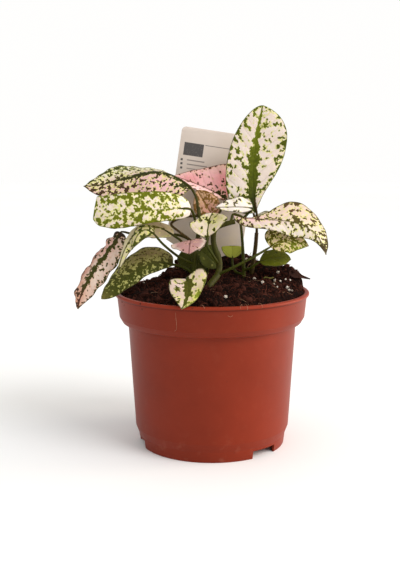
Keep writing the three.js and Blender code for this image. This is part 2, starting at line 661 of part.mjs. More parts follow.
const soil = solid(soilGeometry())
  .subtract(stemRoom)
  .subtract(solid(labelGeometry(GAP)));
addPiece("soil", largestBody(soil), COLOUR.soil, 0.95);

export default plant;
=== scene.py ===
"""A potted polka dot plant: fine leaves, stems, label, soil and pot over the solid model."""
import math

import bmesh
import bpy
import numpy as np
from mathutils import Euler, Matrix, Vector, noise


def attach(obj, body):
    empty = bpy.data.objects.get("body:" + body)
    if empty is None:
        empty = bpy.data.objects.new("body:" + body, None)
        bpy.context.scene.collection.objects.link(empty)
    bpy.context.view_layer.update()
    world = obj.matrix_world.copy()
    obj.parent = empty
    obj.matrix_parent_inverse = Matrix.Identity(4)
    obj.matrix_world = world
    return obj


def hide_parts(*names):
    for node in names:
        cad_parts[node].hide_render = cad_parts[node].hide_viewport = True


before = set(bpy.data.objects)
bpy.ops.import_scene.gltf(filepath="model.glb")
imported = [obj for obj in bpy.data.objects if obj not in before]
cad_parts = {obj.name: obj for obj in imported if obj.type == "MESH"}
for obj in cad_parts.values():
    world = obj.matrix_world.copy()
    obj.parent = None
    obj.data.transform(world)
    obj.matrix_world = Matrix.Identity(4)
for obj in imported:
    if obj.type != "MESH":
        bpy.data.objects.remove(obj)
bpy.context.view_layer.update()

bl_info = {
    "name": "Potted Polka Dot Plant",
    "version": (1, 0, 0),
    "blender": (4, 5, 0),
    "location": "3D View > Sidebar > Plant",
    "description": "Builds a polka dot plant in a nursery pot, with its soil and label",
    "category": "Object",
}

MM = 0.001
# The largest random turn, in radians
TURN = 6.28

# Pot, in millimetres
POT_HEIGHT = 98
RIM_RADIUS = 60
LIP_RADIUS = 61.4
LIP_HEIGHT = 1.8
LIP_ROUND = 0.6
COLLAR_FOOT = (58.7, 82.6)
SHOULDER = (56.8, 79.2)
STEP = (53.2, 78)
BODY_FOOT = (49.2, 12)
FOOT_LINE = (47.2, 6.7)
BASE_RADIUS = 46.4
WALL = 1.4
FLOOR_UNDERSIDE = 4
CENTRE_FOOT_RADIUS = 15
LATHE_RADIUS = 10
NOTCH_ANGLE = 44
NOTCH_DEPTH = 8

# Soil, in millimetres. SOIL_HEAP is a heap's place, reach and height, SOIL_RIDGE a ridge's place, reach each way and
# height, SOIL_WALL the radius and height of each ring down its side, LEAST_RISE how far up a face must look to
# bear crumbs, and ROOTLETS how many rootlets lie on each square metre.
SOIL_TOP_RADIUS = 57.9
SOIL_EDGE_Z = 94.5
SOIL_MOUND = 12
SOIL_HEAP = (50, 14, 18, 12)
SOIL_RIDGE = (5, 28, 32, 13, 14)
SOIL_WALL = [(57.7, 92), (57, 84.3), (51.5, 79.7), (47.5, 12), (44.7, 5.7)]
SOIL_RINGS = 74
SOIL_AROUND = 180
LEAST_RISE = 0.45
ROOTLETS = 3600.0
DRY_LEAF_AT = (35.7, -3.5)
BARK_AT = (55.6, 1.6, 106.9)

# Label, in millimetres. LABEL_SHOULDER is how far its shoulders go in and down, LABEL_POINT the half width and
# height of the stake's point. LABEL_MARKS are the printed marks: left, top, right and bottom from the label's top
# left corner, and how dark the ink is. What lies NO_PRINT further down bears none.
LABEL_WIDTH = 50
LABEL_HEAD = 74
LABEL_STAKE = 39
LABEL_SHOULDER = (17, 8)
LABEL_POINT = (1.2, 2)
LABEL_THICKNESS = 0.7
LABEL_CORNER = 3
LABEL_TOP_LEFT = (-19, 22, 201)
LABEL_ROLL = 8.5
LABEL_MARKS = [
    (3, 9.8, 15.6, 18, 0.92), (16.4, 9.9, 33, 10.35, 0.75), (1.9, 20.3, 3.3, 21.7, 0.9), (2.1, 22.9, 3.5, 24.3, 0.9),
    (2.3, 25.6, 3.7, 27, 0.9), (6, 20.5, 17.4, 21.3, 0.6), (6.3, 23.2, 19.5, 24, 0.6), (6.5, 25.9, 12, 26.6, 0.5),
]
INK_BLUR = 0.05
NO_PRINT = 200

# Blades, in millimetres. VEIN_LEAN is the way that the side veins run, FRILL the height and length of the waves at
# the very edge, and GROOVE and KEEL the depth and half width of the midrib's line above and below.
TIP_HALF_WIDTH = 0.5
WAVE_SHIFT = 2.2
FLAT_END = 0.2
END_ROWS = 0.75
PETIOLE_RADIUS = 0.9
PETIOLE_END_RADIUS = 0.7
VEIN_LEAN = (0.72, 0.69)
QUILT_SPACING = 5.2
FRILL = (0.25, 7.5)
GROOVE = (0.16, 0.7)
KEEL = (0.55, 0.8)

# Stage: how far the floor goes each way in millimetres, places in metres, the side light's width, and the camera's
# pitch in degrees, lens, sensor and sideways shift
FLOOR_REACH = 3000
FLOOR_FRONT = 2500
FLOOR_BACK = 3500
KEY_LIGHT_AT = (0.75, -0.55, 0.85)
SIDE_LIGHT_AT = (1.0, 0.05, 0.2)
SIDE_LIGHT_SIZE = 0.6
LIT_SPOT = (0, 0, 0.09)
CAMERA_AT = (0, -0.564, 0.192)
CAMERA_PITCH = 9.15
CAMERA_LENS = 56.84
CAMERA_SENSOR = 36
CAMERA_SHIFT = -12 / 570

# Each stem: its path from inside the soil, its radius at the foot and top, and how brown it is there.
STEMS = {
    "stem_front": (
        [(-4, -30, 90), (-1.8, -26, 104), (3.8, -19.5, 111.5), (4.3, -17, 119), (0.9, -16, 130),
         (2.2, -16, 138.6), (8, -15.2, 141.3), (14, -14.6, 142.8)],
        (2.2, 1.5), (0.15, 0.35),
    ),
    "stem_left": (
        [(-10, -9, 88), (-11.5, -11, 108), (-10.5, -12.5, 124), (-7.5, -12, 140), (-8.5, -8, 151)],
        (2, 1.2), (0.1, 0.3),
    ),
    "stem_middle": ([(21, 0, 90), (20, -1, 112), (19, -3, 130), (17.5, -5, 143)], (1.2, 0.8), (0.05, 0.1)),
    "stem_right": ([(23, 6, 88), (25.5, 5, 110), (27.5, 4, 124), (28.2, 3, 134)], (1.6, 1.2), (0.75, 0.9)),
    "stem_inner": ([(-3, 0, 90), (-3.5, 2, 112), (-3, 4, 130), (1, 4, 141)], (1.6, 1), (0.1, 0.2)),
    "stem_back": ([(2, 36, 86), (1, 36, 110), (0, 35, 132), (1, 34, 146)], (2, 1.2), (0.2, 0.3)),
}

# Each leaf's shape: its midrib at 0, 1/3, 2/3 and 1 of its length, the way its upper side looks at base and tip,
# and for its left and right half the width, the place of that width, the fullness at base and tip, the fold and
# the curl of the edge. wave is the edge's height, its number of waves and their phase, lobe how far each half
# reaches back past the base, and brown how brown its petiole is. SEED_LEAF is what the plain green leaves share.
USUAL_LEAF = {
    "peak": (0.4, 0.4), "base": (0.5, 0.5), "tip": (1.8, 1.8), "blunt": 0.9, "lobe": (0, 0),
    "fold": [(8, 8), (8, 8)], "curl": (-12, -12), "wave": (0.6, 2.5, 0),
    "rows": 64, "columns": 40, "quilt": 0.22, "crinkle": 0, "brown": 0.3,
}
SEED_LEAF = {
    "face": [(0, -0.75, 0.65), (0, -0.75, 0.65)], "peak": (0.5, 0.5), "tip": (2.8, 2.8),
    "fold": [(6, 6), (6, 6)], "curl": (0, 0), "wave": (0, 0, 0), "quilt": 0.05, "brown": 0.0,
}
LEAVES = {
    "leaf_upright": {
        "mid": [(28, 2, 147), (25.5, 1, 169), (27, 0, 190), (31, -2, 213)],
        "face": [(0, -1, 0.1), (0, -1, 0.15)],
        "half": (17, 19), "peak": (0.3, 0.66), "base": (0.32, 1.3), "tip": (2.2, 3), "blunt": 0.6,
        "fold": [(6, 6), (8, 8)], "wave": (0.9, 2.5, 0), "rows": 88, "columns": 52,
        "petiole": [(28.2, 3, 132), (28.3, 2.6, 140)], "brown": 0.8,
    },
    "leaf_big_left": {
        "mid": [(-12.9, -4, 162.5), (-34, -1, 172.5), (-55, -3, 168), (-79, -8, 164)],
        "face": [(0, -0.75, 0.66), (0, -0.2, 0.98)],
        "half": (21, 19), "peak": (0.4, 0.5), "base": (0.25, 1), "tip": (2.6, 1.7),
        "fold": [(0, -24), (-70, 46)], "curl": (-12, -8), "wave": (1, 2.5, 1), "rows": 88, "columns": 52,
        "petiole": [(-8.5, -8, 149), (-9.6, -5.5, 156)],
    },
    "leaf_oval_left": {
        "mid": [(-13, -16, 150.3), (-34, -25, 150.8), (-55, -27, 148), (-71.5, -23, 145.6)],
        "face": [(0, -0.95, 0.3), (-0.1, -0.95, 0.3)],
        "half": (8.2, 13.6), "peak": (0.75, 0.95), "base": (0.18, 0.26), "tip": (0.85, 4), "blunt": 0.4,
        "fold": [(-6, -10), (0, 0)], "curl": (-30, -10), "wave": (0.7, 2.5, 2), "rows": 88, "columns": 44,
        "petiole": [(-8.5, -12.4, 134), (-10.5, -11.6, 143.5)], "brown": 0.2,
    },
    "leaf_pink": {
        "mid": [(9, 8, 155), (-2, 9, 161), (-13, 11, 165.5), (-25, 12, 169.6)],
        "face": [(-0.2, -0.45, 0.85), (-0.2, -0.5, 0.85)],
        "half": (9, 21), "peak": (0.4, 0.24), "tip": (1.8, 0.85),
        "fold": [(14, 14), (44, 42)], "curl": (0, -10),
        "petiole": [(1, 4, 140), (6, 6, 149)],
    },
    "leaf_arched": {
        "mid": [(-24, -11, 134), (-40, -16, 139.5), (-51, -22.5, 130), (-56.5, -27, 113)],
        "face": [(0, -0.5, 0.85), (-0.7, -0.7, 0.1)],
        "half": (7, 10), "peak": (0.22, 0.16), "base": (0.5, 0.3), "tip": (1.8, 1),
        "fold": [(-40, -10), (-5, -10)], "curl": (-20, -20), "wave": (0.5, 3, 0),
        "petiole": [(-10.6, -12.4, 117.5), (-14, -13.5, 125), (-19.5, -12, 131)], "brown": 0.15,
    },
    "leaf_inner_arch": {
        "mid": [(-35, -22.5, 136), (-40.5, -23.8, 138.5), (-45, -25, 135), (-48, -26.4, 127)],
        "face": [(0.1, -0.8, 0.5), (-0.6, -0.8, 0.2)],
        "half": (5, 5),
        "fold": [(-15, -15), (-15, -15)], "wave": (0.3, 2.5, 1), "rows": 40, "columns": 24,
        "petiole": [(-11.2, -11.7, 116), (-20, -19.5, 121.5), (-30, -21.5, 130)], "brown": 0.1,
    },
    "leaf_far_left": {
        "mid": [(-57.5, -1, 135), (-66, -4, 122.5), (-77, -7, 106.5), (-84, -10, 87.5)],
        "face": [(-0.35, -0.7, 0.6), (-0.5, -0.8, 0.25)],
        "half": (10, 7.6), "peak": (0.45, 0.62), "base": (0.4, 0.25), "tip": (2.8, 3.4),
        "fold": [(-26, -10), (0, 0)], "curl": (-10, -25), "wave": (0.9, 4.5, 0), "rows": 80, "crinkle": 0.9,
        "petiole": [(-10, -12.5, 128), (-18, -8, 133), (-34, -2, 134), (-49, 0, 133.5)], "brown": 0.4,
    },
    "leaf_low_left": {
        "mid": [(-24, -16, 116.5), (-41, -20, 116), (-55, -23, 107), (-67, -27, 97)],
        "face": [(-0.1, -0.75, 0.65), (-0.4, -0.8, 0.5)],
        "half": (6.8, 14), "peak": (0.5, 0.3), "base": (0.5, 0.32), "tip": (2.2, 1.4), "blunt": 0.7,
        "fold": [(-6, -6), (4, 4)], "curl": (-10, -20), "wave": (0.6, 3, 1), "rows": 72,
        "petiole": [(-11.5, -11, 110), (-17, -13, 114)], "brown": 0.1,
    },
    "leaf_small_drooping": {
        "mid": [(-12.5, -20, 132), (-13, -24.5, 131.5), (-13.4, -29, 129.3), (-13.7, -33, 125)],
        "face": [(0, -0.3, 0.95), (0, -0.6, 0.8)],
        "half": (10, 12), "peak": (0.45, 0.4),
        "fold": [(16, 0), (-6, -6)], "curl": (0, -20), "rows": 48,
        "petiole": [(-9, -9.2, 146), (-18, -12.5, 145.2), (-25, -15.5, 141.5), (-20, -18.5, 137)],
        "brown": 0.9,
    },
    "leaf_heart": {
        "mid": [(-14.9, -43, 111.6), (-13.7, -49.5, 108), (-14.3, -56, 102.6), (-17.3, -62, 97.4)],
        "face": [(-0.05, -0.75, 0.65), (-0.1, -0.85, 0.5)],
        "half": (11.5, 11.5), "peak": (0.3, 0.46), "tip": (1.02, 1.7), "lobe": (14, 12),
        "fold": [(10, 10), (6, 6)], "curl": (-14, -14), "rows": 56, "columns": 44,
        "petiole": [(-11.5, -11, 108.5), (-11, -20, 111), (-12.5, -31, 111.8)], "brown": 0.05,
    },
    "leaf_long_right": {
        "mid": [(13, -13, 147), (34, -14, 144), (56, -12, 140), (70.5, -12, 122)],
        "face": [(0, -0.3, 0.95), (0.45, -0.35, 0.8)],
        "half": (15.6, 8), "peak": (0.6, 0.5), "base": (3.8, 0.6), "tip": (1.6, 1.8),
        "fold": [(0, 24), (-50, -50)], "curl": (20, -20), "wave": (1.6, 1.6, 2.4), "rows": 88, "columns": 48,
        "petiole": [(11.5, -15, 142.2), (12, -14.2, 144.5)], "brown": 0.35,
    },
    "leaf_mottled": {
        "mid": [(36, -13, 127), (43, -11, 130), (51, -9, 130), (60, -8, 127)],
        "face": [(0, -0.8, 0.6), (0.1, -0.8, 0.6)],
        "half": (12, 8), "peak": (0.3, 0.5), "base": (0.35, 0.5),
        "fold": [(4, 4), (0, 0)], "curl": (-20, -20), "rows": 48, "columns": 44,
        "petiole": [(3, -20.4, 110.6), (12, -21.5, 115), (24, -20, 121), (32, -16, 125)], "brown": 0.0,
    },
    "leaf_cream_centre": {
        "mid": [(-3, -22.5, 133.5), (-2.5, -19.5, 138.5), (-1.5, -15.5, 143.5), (0.5, -11.5, 148)],
        "face": [(-0.45, -0.65, 0.65), (-0.45, -0.6, 0.7)],
        "half": (11.5, 13), "peak": (0.5, 0.66), "base": (0.9, 1.1), "tip": (1.3, 1.6),
        "fold": [(24, 24), (10, 10)], "curl": (-10, -10), "rows": 44, "columns": 48,
        "petiole": [(4.5, -17.4, 116), (0.5, -21, 123), (-3, -22, 129)], "brown": 0.1,
    },
    "leaf_white": {
        "mid": [(25, -5, 150), (18, -6, 151), (10, -7, 151), (2, -8, 151)],
        "face": [(0, -0.8, 0.6), (0, -0.8, 0.6)],
        "half": (4, 8), "peak": (0.4, 0.3),
        "fold": [(0, 0), (0, 0)], "curl": (0, -10), "rows": 44, "columns": 28,
        "petiole": [(17.5, -5, 142), (22, -4.5, 146.5)], "brown": 0.1,
    },
    "leaf_young": {
        "mid": [(1, -0.8, 144), (-2.5, -0.6, 150), (-6, -0.4, 156), (-9.5, 0, 161)],
        "face": [(-0.2, -0.9, 0.35), (-0.3, -0.9, 0.35)],
        "half": (8.5, 8.5),
        "fold": [(14, 14), (14, 14)], "rows": 40, "columns": 36,
        "petiole": [(1, 4, 138), (0.5, 1.2, 141.5)], "brown": 0.4,
    },
    "seed_leaf_round": {
        **SEED_LEAF, "mid": [(30, -6, 117), (36.5, -6, 119), (43, -5, 119.5), (49.5, -4, 118)],
        "face": [(0, -0.55, 0.83), (0, -0.55, 0.83)],
        "half": (8, 8), "tip": (2.6, 2.6),
        "fold": [(4, 4), (4, 4)], "curl": (-8, -8), "rows": 40, "columns": 32, "quilt": 0.08,
        "petiole": [(20.2, -1, 111), (24, -4, 112.5), (27, -6, 115)],
    },
    "seed_leaf_small": {
        **SEED_LEAF, "mid": [(13, 5, 118), (13, 6.7, 120.4), (13, 8.4, 122.8), (13, 10, 125)],
        "half": (7, 7), "peak": (0.8, 0.8), "tip": (3, 3),
        "rows": 28, "columns": 28,
        "petiole": [(19.8, -1, 108.5), (15.5, 2.5, 109), (13.2, 4.2, 113)],
    },
    "seed_leaf_centre": {
        **SEED_LEAF, "mid": [(3.7, -10, 114.5), (0, -10.7, 118.3), (-3.7, -11.3, 122), (-7.2, -12, 125)],
        "face": [(0, -0.8, 0.6), (0, -0.8, 0.6)],
        "half": (7, 8),
        "fold": [(8, 8), (8, 8)], "rows": 36, "columns": 32,
        "petiole": [(4.2, -17.8, 114), (5.2, -13.5, 113)],
    },
    "seed_leaf_left": {
        **SEED_LEAF, "mid": [(-3, -4, 113.5), (-9.5, -4.3, 116), (-16, -4.7, 117.5), (-22, -5, 118)],
        "half": (8, 9),
        "rows": 36, "columns": 28,
        "petiole": [(-3.4, 1, 109.5), (-2.6, -2.5, 111.5)],
    },
    "leaf_back_left": {
        "mid": [(-16, 38, 140), (-32, 44, 146), (-48, 50, 145), (-64, 54, 137)],
        "face": [(0, 0.3, 0.95), (-0.3, 0.35, 0.9)],
        "half": (14, 14),
        "fold": [(6, 6), (6, 6)], "curl": (-16, -16), "wave": (0.8, 2.5, 0),
        "petiole": [(0.5, 35, 128), (-6, 36, 135)],
    },
    "leaf_back_upright": {
        "mid": [(26, 8, 148), (25, 11, 162), (27, 14, 175), (29, 17, 187)],
        "face": [(0, 0.7, 0.7), (0, 0.9, 0.4)],
        "half": (8, 8),
        "wave": (0.6, 2.5, 1), "rows": 56, "columns": 28,
        "petiole": [(27.7, 4, 126), (28.5, 7, 136)], "brown": 0.7,
    },
    "leaf_back_right": {
        "mid": [(22, 33, 138), (36, 36, 143), (50, 38, 141), (63, 40, 132)],
        "face": [(0.1, 0.3, 0.95), (0.4, 0.3, 0.85)],
        "half": (13, 13), "peak": (0.42, 0.42),
        "fold": [(4, 4), (4, 4)], "curl": (-14, -14), "wave": (0.8, 2.5, 2),
        "petiole": [(0.5, 35, 126), (8, 33, 132), (15, 33, 136)],
    },
    "leaf_back_tall": {
        "mid": [(-2, 37, 156), (-6, 44, 168), (-9, 52, 178), (-11, 61, 185)],
        "face": [(0, 0.8, 0.6), (0, 0.6, 0.8)],
        "half": (13, 13),
        "curl": (-10, -10), "wave": (0.8, 2.5, 0),
        "petiole": [(1, 34, 145), (0, 35, 151)],
    },
}

# Colours, as shown on a screen
CREAM = (216, 204, 180)
DEEP_PINK = (238, 150, 158)
SALMON = (206, 150, 124)
LEAF_GREEN = (84, 92, 15)
DARK_GREEN = (54, 60, 16)
BRIGHT_GREEN = (118, 128, 26)
LIME = (136, 146, 38)
MAROON = (92, 52, 42)
PURPLE_BROWN = (72, 46, 42)

# Each leaf's colours. ground is the colour between the flecks and flecks theirs; amount is how much of the blade
# the flecks cover, band how much more along the midrib and how wide, edge how much more at the margin and how far
# in, and rib how plain the midrib's line is. tints, fleck_tints and spots are soft patches: where along and across
# the blade, how far each way, and the colour or the change of amount.
USUAL_LOOK = {
    "slot": "cream_leaf", "ground": CREAM, "flecks": LEAF_GREEN, "amount": 0.38, "band": (0.2, 0.12, 0.08),
    "edge": (0.1, 1.6), "rib": 0.7, "grain": 1.0, "tints": [], "fleck_tints": [], "spots": [],
}
PLAIN_GREEN = {"slot": "green_leaf", "amount": 0, "edge": (0, 1), "rib": 0.4}
LOOKS = {
    "leaf_upright": {
        "ground": (226, 211, 200), "amount": 0.24, "band": (0.85, 0.27, 0.06), "edge": (0.36, 2.6), "rib": 1,
        "grain": 1.2,
        "fleck_tints": [(0.85, -0.2, 0.3, 0.6, BRIGHT_GREEN), (0.1, 0.0, 0.12, 0.3, DARK_GREEN)],
        "spots": [(0.08, 0.6, 0.14, 0.5, -0.3), (0.23, 0.4, 0.05, 0.3, 0.34), (0.17, -0.5, 0.05, 0.28, 0.26),
                  (0.3, 0.6, 0.16, 0.25, -0.08), (0.25, -0.6, 0.15, 0.25, -0.06),
                  (0.86, 0.3, 0.05, 0.12, 0.3), (0.66, -0.65, 0.1, 0.2, 0.14), (0.8, 0.0, 0.14, 0.16, -0.22),
                  (0.36, 0.14, 0.2, 0.16, 0.2), (0.5, -0.3, 0.08, 0.22, 0.16)],
    },
    "leaf_big_left": {
        "ground": (210, 176, 166), "flecks": (78, 54, 34), "amount": 0.4, "band": (0.5, 0.1, 0.05),
        "edge": (0.24, 2.0),
        "tints": [(0.5, 0.75, 0.8, 0.6, (220, 216, 190)), (0.35, -0.5, 0.3, 0.4, (222, 172, 176))],
        "fleck_tints": [(0.6, 0.85, 0.7, 0.6, (76, 82, 22)), (0.1, 0, 0.15, 0.6, DARK_GREEN),
                        (0.4, 0.0, 0.6, 0.12, DARK_GREEN)],
        "spots": [(0.05, 0.3, 0.15, 0.6, 0.25), (0.3, -0.55, 0.2, 0.25, -0.1), (0.75, -0.3, 0.3, 0.5, 0.06),
                  (0.7, 0.9, 0.3, 0.3, 0.1)],
    },
    "leaf_oval_left": {
        "ground": (224, 209, 192), "flecks": (110, 116, 20), "amount": 0.46, "band": (0.06, 0.2, 0.2),
        "edge": (0.14, 1.6), "rib": 0.2, "grain": 1.15,
        "tints": [(0.04, 0, 0.07, 1.2, (232, 222, 212))],
        "spots": [(0.04, 0, 0.07, 1.2, -0.4), (0.5, 0.8, 0.4, 0.3, 0.08), (0.85, 0.2, 0.14, 0.8, -0.1)],
    },
    "leaf_pink": {
        "slot": "pink_leaf", "ground": (252, 214, 210), "flecks": (104, 58, 48), "amount": 0.2,
        "edge": (0.26, 1.6),
        "tints": [(0.1, 0.5, 0.3, 0.5, DEEP_PINK), (0.45, 0.95, 0.5, 0.2, (230, 190, 176)),
                  (0.7, 0.3, 0.25, 0.6, (236, 164, 166))],
        "fleck_tints": [(0.1, 0.0, 0.2, 0.6, DARK_GREEN)],
        "spots": [(0.05, -0.1, 0.12, 0.6, 0.4), (0.4, -0.9, 0.6, 0.2, 0.12)],
    },
    "leaf_arched": {
        "ground": (200, 190, 152), "flecks": (70, 66, 24), "amount": 0.12, "band": (0.5, 0.2, 0.14),
        "edge": (0.04, 1.2),
        "tints": [(0.14, 0.5, 0.25, 0.6, (180, 162, 124)), (0.12, -0.4, 0.2, 0.6, (176, 158, 120))],
        "fleck_tints": [(0.1, 0, 0.3, 1.2, (100, 90, 36))],
        "spots": [(0.15, 0.5, 0.25, 0.5, -0.25), (0.45, 0.7, 0.3, 0.3, -0.18), (0.7, -0.5, 0.4, 0.5, 0.16)],
    },
    "leaf_inner_arch": {"ground": (190, 180, 132), "flecks": (74, 80, 22), "amount": 0.44, "grain": 1.2},
    "leaf_far_left": {
        "slot": "pink_leaf", "ground": (229, 210, 193), "flecks": (72, 72, 26), "amount": 0.32,
        "band": (0.6, 0.2, 0.12), "edge": (0.2, 1.6), "rib": 1,
        "tints": [(0.5, 0.85, 0.9, 0.4, (196, 146, 128)), (0.9, 0.3, 0.18, 1.0, SALMON),
                  (0.02, 0.3, 0.1, 1.0, (120, 84, 82)), (0.25, 0.3, 0.15, 0.5, (222, 182, 174))],
        "fleck_tints": [(0.6, 0.85, 0.8, 0.35, PURPLE_BROWN), (0.02, 0, 0.1, 1, (62, 40, 42)),
                        (0.92, 0, 0.12, 1, MAROON)],
        "spots": [(0.02, 0.2, 0.12, 0.9, 0.35), (0.6, -0.6, 0.3, 0.3, -0.1), (0.9, 0.5, 0.2, 0.4, 0.1)],
    },
    "leaf_low_left": {
        "slot": "green_leaf", "ground": (164, 162, 92), "flecks": (68, 72, 18), "amount": 0.64,
        "band": (0.1, 0.12, 0.1), "edge": (0.05, 1.2), "rib": 0.9, "grain": 0.75,
        "tints": [(0.25, 0.6, 0.4, 0.5, (108, 90, 62)), (0.35, -0.8, 0.5, 0.3, (196, 192, 128))],
        "fleck_tints": [(0.2, 0.6, 0.4, 0.5, (80, 66, 36)), (0.97, 0, 0.1, 1, (112, 104, 50))],
        "spots": [(0.97, 0, 0.14, 1.2, 0.35), (0.4, -0.85, 0.4, 0.2, -0.14), (0.25, 0.6, 0.35, 0.4, -0.34)],
    },
    "leaf_small_drooping": {
        "slot": "pink_leaf", "ground": (180, 138, 134), "flecks": (96, 56, 48), "amount": 0.14,
        "band": (0.15, 0.1, 0.1), "edge": (0.05, 1.6),
        "tints": [(0.5, 0.95, 0.7, 0.2, (216, 196, 180)), (0.5, -0.95, 0.7, 0.2, (216, 196, 180))],
        "spots": [(0.12, 0, 0.16, 0.6, 0.46)],
    },
    "leaf_heart": {
        "ground": (210, 188, 168), "flecks": (80, 80, 18), "amount": 0.32, "band": (0.8, 0.26, 0.1),
        "edge": (0.14, 1.6), "rib": 0.9, "grain": 1.15,
        "tints": [(0.75, -0.75, 0.35, 0.4, (176, 168, 88)), (0.3, 0.5, 0.25, 0.4, (220, 196, 186))],
        "fleck_tints": [(0.7, -0.75, 0.3, 0.4, LIME)],
        "spots": [(0.75, -0.8, 0.25, 0.3, 0.12), (0.3, 0.5, 0.2, 0.4, -0.06)],
    },
    "leaf_long_right": {
        "ground": (208, 194, 176), "flecks": (84, 76, 26), "amount": 0.34, "band": (0.12, 0.12, 0.08),
        "edge": (0.22, 2.0),
        "tints": [(0.14, 0, 0.26, 1.2, (230, 182, 184)), (0.5, 0.7, 0.4, 0.5, (222, 212, 200)),
                  (0.6, -0.6, 0.2, 0.4, (214, 188, 172))],
        "fleck_tints": [(0.12, 0, 0.28, 1.2, (88, 54, 48)), (0.55, -0.7, 0.3, 0.3, (96, 66, 42)),
                        (1.0, 0, 0.1, 1, (70, 52, 34))],
        "spots": [(0.15, -0.3, 0.15, 0.5, 0.1), (0.62, -0.1, 0.07, 0.25, 0.35), (0.97, 0, 0.08, 1, 0.3),
                  (0.45, 0.7, 0.3, 0.5, -0.14)],
    },
    "leaf_mottled": {
        "ground": (200, 176, 142), "flecks": (98, 92, 18), "amount": 0.52, "band": (0.05, 0.1, 0.1),
        "edge": (0.06, 1.2), "rib": 0.3, "grain": 0.8,
        "tints": [(0.7, 0.9, 0.3, 0.3, (176, 170, 96))],
        "fleck_tints": [(0.8, 0.6, 0.4, 0.6, BRIGHT_GREEN)],
    },
    "leaf_cream_centre": {
        "ground": (226, 208, 186), "flecks": (76, 76, 14), "amount": 0.28, "band": (0.4, 0.1, 0.06),
        "edge": (0.12, 1.2), "rib": 1, "grain": 1.25,
        "tints": [(0.75, 0.4, 0.35, 0.5, (184, 178, 112))],
        "spots": [(0.8, 0.0, 0.25, 0.5, 0.14)],
    },
    "leaf_white": {
        "ground": (234, 224, 216), "flecks": (92, 78, 60), "amount": 0.22, "band": (0.1, 0.1, 0.1),
        "edge": (0.12, 1.2),
    },
    "leaf_young": {
        "slot": "pink_leaf", "ground": (206, 168, 122), "flecks": (148, 108, 54), "amount": 0.46,
        "tints": [(0.2, 0, 0.35, 1.2, (214, 150, 136))],
    },
    "seed_leaf_round": {**PLAIN_GREEN, "ground": (82, 86, 6), "flecks": (70, 74, 4)},
    "seed_leaf_small": {**PLAIN_GREEN, "ground": (164, 168, 66), "flecks": (130, 136, 44), "rib": 0.3},
    "seed_leaf_centre": {**PLAIN_GREEN, "ground": (60, 64, 10), "flecks": (50, 54, 8)},
    "seed_leaf_left": {**PLAIN_GREEN, "ground": (52, 55, 10), "flecks": (44, 48, 8)},
    "leaf_back_tall": {
        "slot": "pink_leaf", "ground": (222, 184, 178), "flecks": (78, 76, 30), "amount": 0.4,
    },
}

# White grains on the soil that the photo shows, in millimetres across and back
PERLITE = [
    (39.4, -5), (42.9, -6), (46.2, -5), (49.3, -2), (38.5, -11.5), (40.6, -14), (47.7, -14), (49.5, -15),
    (47, -11), (31.4, -11.5), (26.9, -2), (41.9, 2), (50.5, 4), (30, -30), (-20, -40), (8, -44), (-44, 10),
    (-30, 36), (14, 44), (22.5, 20), (28.5, 17),
]

# Root threads that cling to the pot's front: each point across, its height and how far off the wall it lies
THREAD_RADIUS = 0.09
THREADS = [
    [(-21, 95, 0.1), (-20.8, 91, 0.1), (-20.4, 87, 0.1), (-20.8, 83.6, 0.1), (-21.6, 82.9, 0.2)],
    [(18.4, 93.5, -4.5), (19, 99.2, -1), (20, 98.6, 1.6), (20.4, 97.2, 1.9), (20.2, 96, 2)],
    [(18, 93.5, -4.5), (17.2, 99, -1), (16.4, 98.5, 1.6), (16.2, 97, 2)],
    [(-7, 93.5, -4.5), (-6, 99, -1), (-4.6, 98.6, 1.6), (-4.2, 97.3, 1.9)],
    [(9, 93, 0.1), (10.4, 92.2, 0.3), (11.8, 92.8, 0.1)],
    [(26, 93.5, -4.5), (27, 99, -1), (28.6, 98.6, 1.6), (29, 97.2, 1.9), (28.6, 96, 1.8)],
]


# Small tools

def screen(rgb):
    """A screen colour, 0 to 255, as the linear colour that a socket takes."""
    return (*(c / 255 / 12.92 if c <= 10 else ((c / 255 + 0.055) / 1.055) ** 2.4 for c in rgb), 1.0)


def shaded(colour, factor, more=0.0):
    """A linear colour made lighter or darker."""
    return (*(c * factor + more for c in colour[:3]), 1.0)


def place(obj, stands_for=()):
    """Finishes a piece: it rides on the plant's one body, and the solids that it stands for are hidden."""
    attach(obj, "root")
    if stands_for:
        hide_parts(*stands_for)


def link(name, data):
    """A new object in the scene, at the origin."""
    obj = bpy.data.objects.new(name, data)
    bpy.context.scene.collection.objects.link(obj)
    return obj


def mesh_object(name, points, faces, materials=(), attributes=None, material_index=None):
    """A mesh object from points in millimetres, with point attributes given by name."""
    mesh = bpy.data.meshes.new(name)
    mesh.from_pydata((np.asarray(points) * MM).tolist(), [], faces)
    for material in materials:
        mesh.materials.append(material)
    for key, values in (attributes or {}).items():
        values = np.asarray(values, dtype=np.float32)
        kind = {1: "FLOAT", 3: "FLOAT_VECTOR", 4: "FLOAT_COLOR"}[values.shape[1] if values.ndim == 2 else 1]
        field = {"FLOAT": "value", "FLOAT_VECTOR": "vector", "FLOAT_COLOR": "color"}[kind]
        mesh.attributes.new(key, kind, "POINT").data.foreach_set(field, values.ravel())
    if material_index is not None:
        mesh.polygons.foreach_set("material_index", np.asarray(material_index, dtype=np.int32))
    mesh.polygons.foreach_set("use_smooth", [True] * len(mesh.polygons))
    mesh.update()
    return link(name, mesh)


def open_curve(name, points, radii=None):
    """A curve object through points in metres, with its radius at each."""
    curve = bpy.data.curves.new(name, "CURVE")
    curve.dimensions = "3D"
    spline = curve.splines.new("POLY")
    spline.points.add(len(points) - 1)
    for i, (point, spot) in enumerate(zip(spline.points, points)):
        point.co = (*spot, 1)
        if radii is not None:
            point.radius = radii[i]
    return link(name, curve)


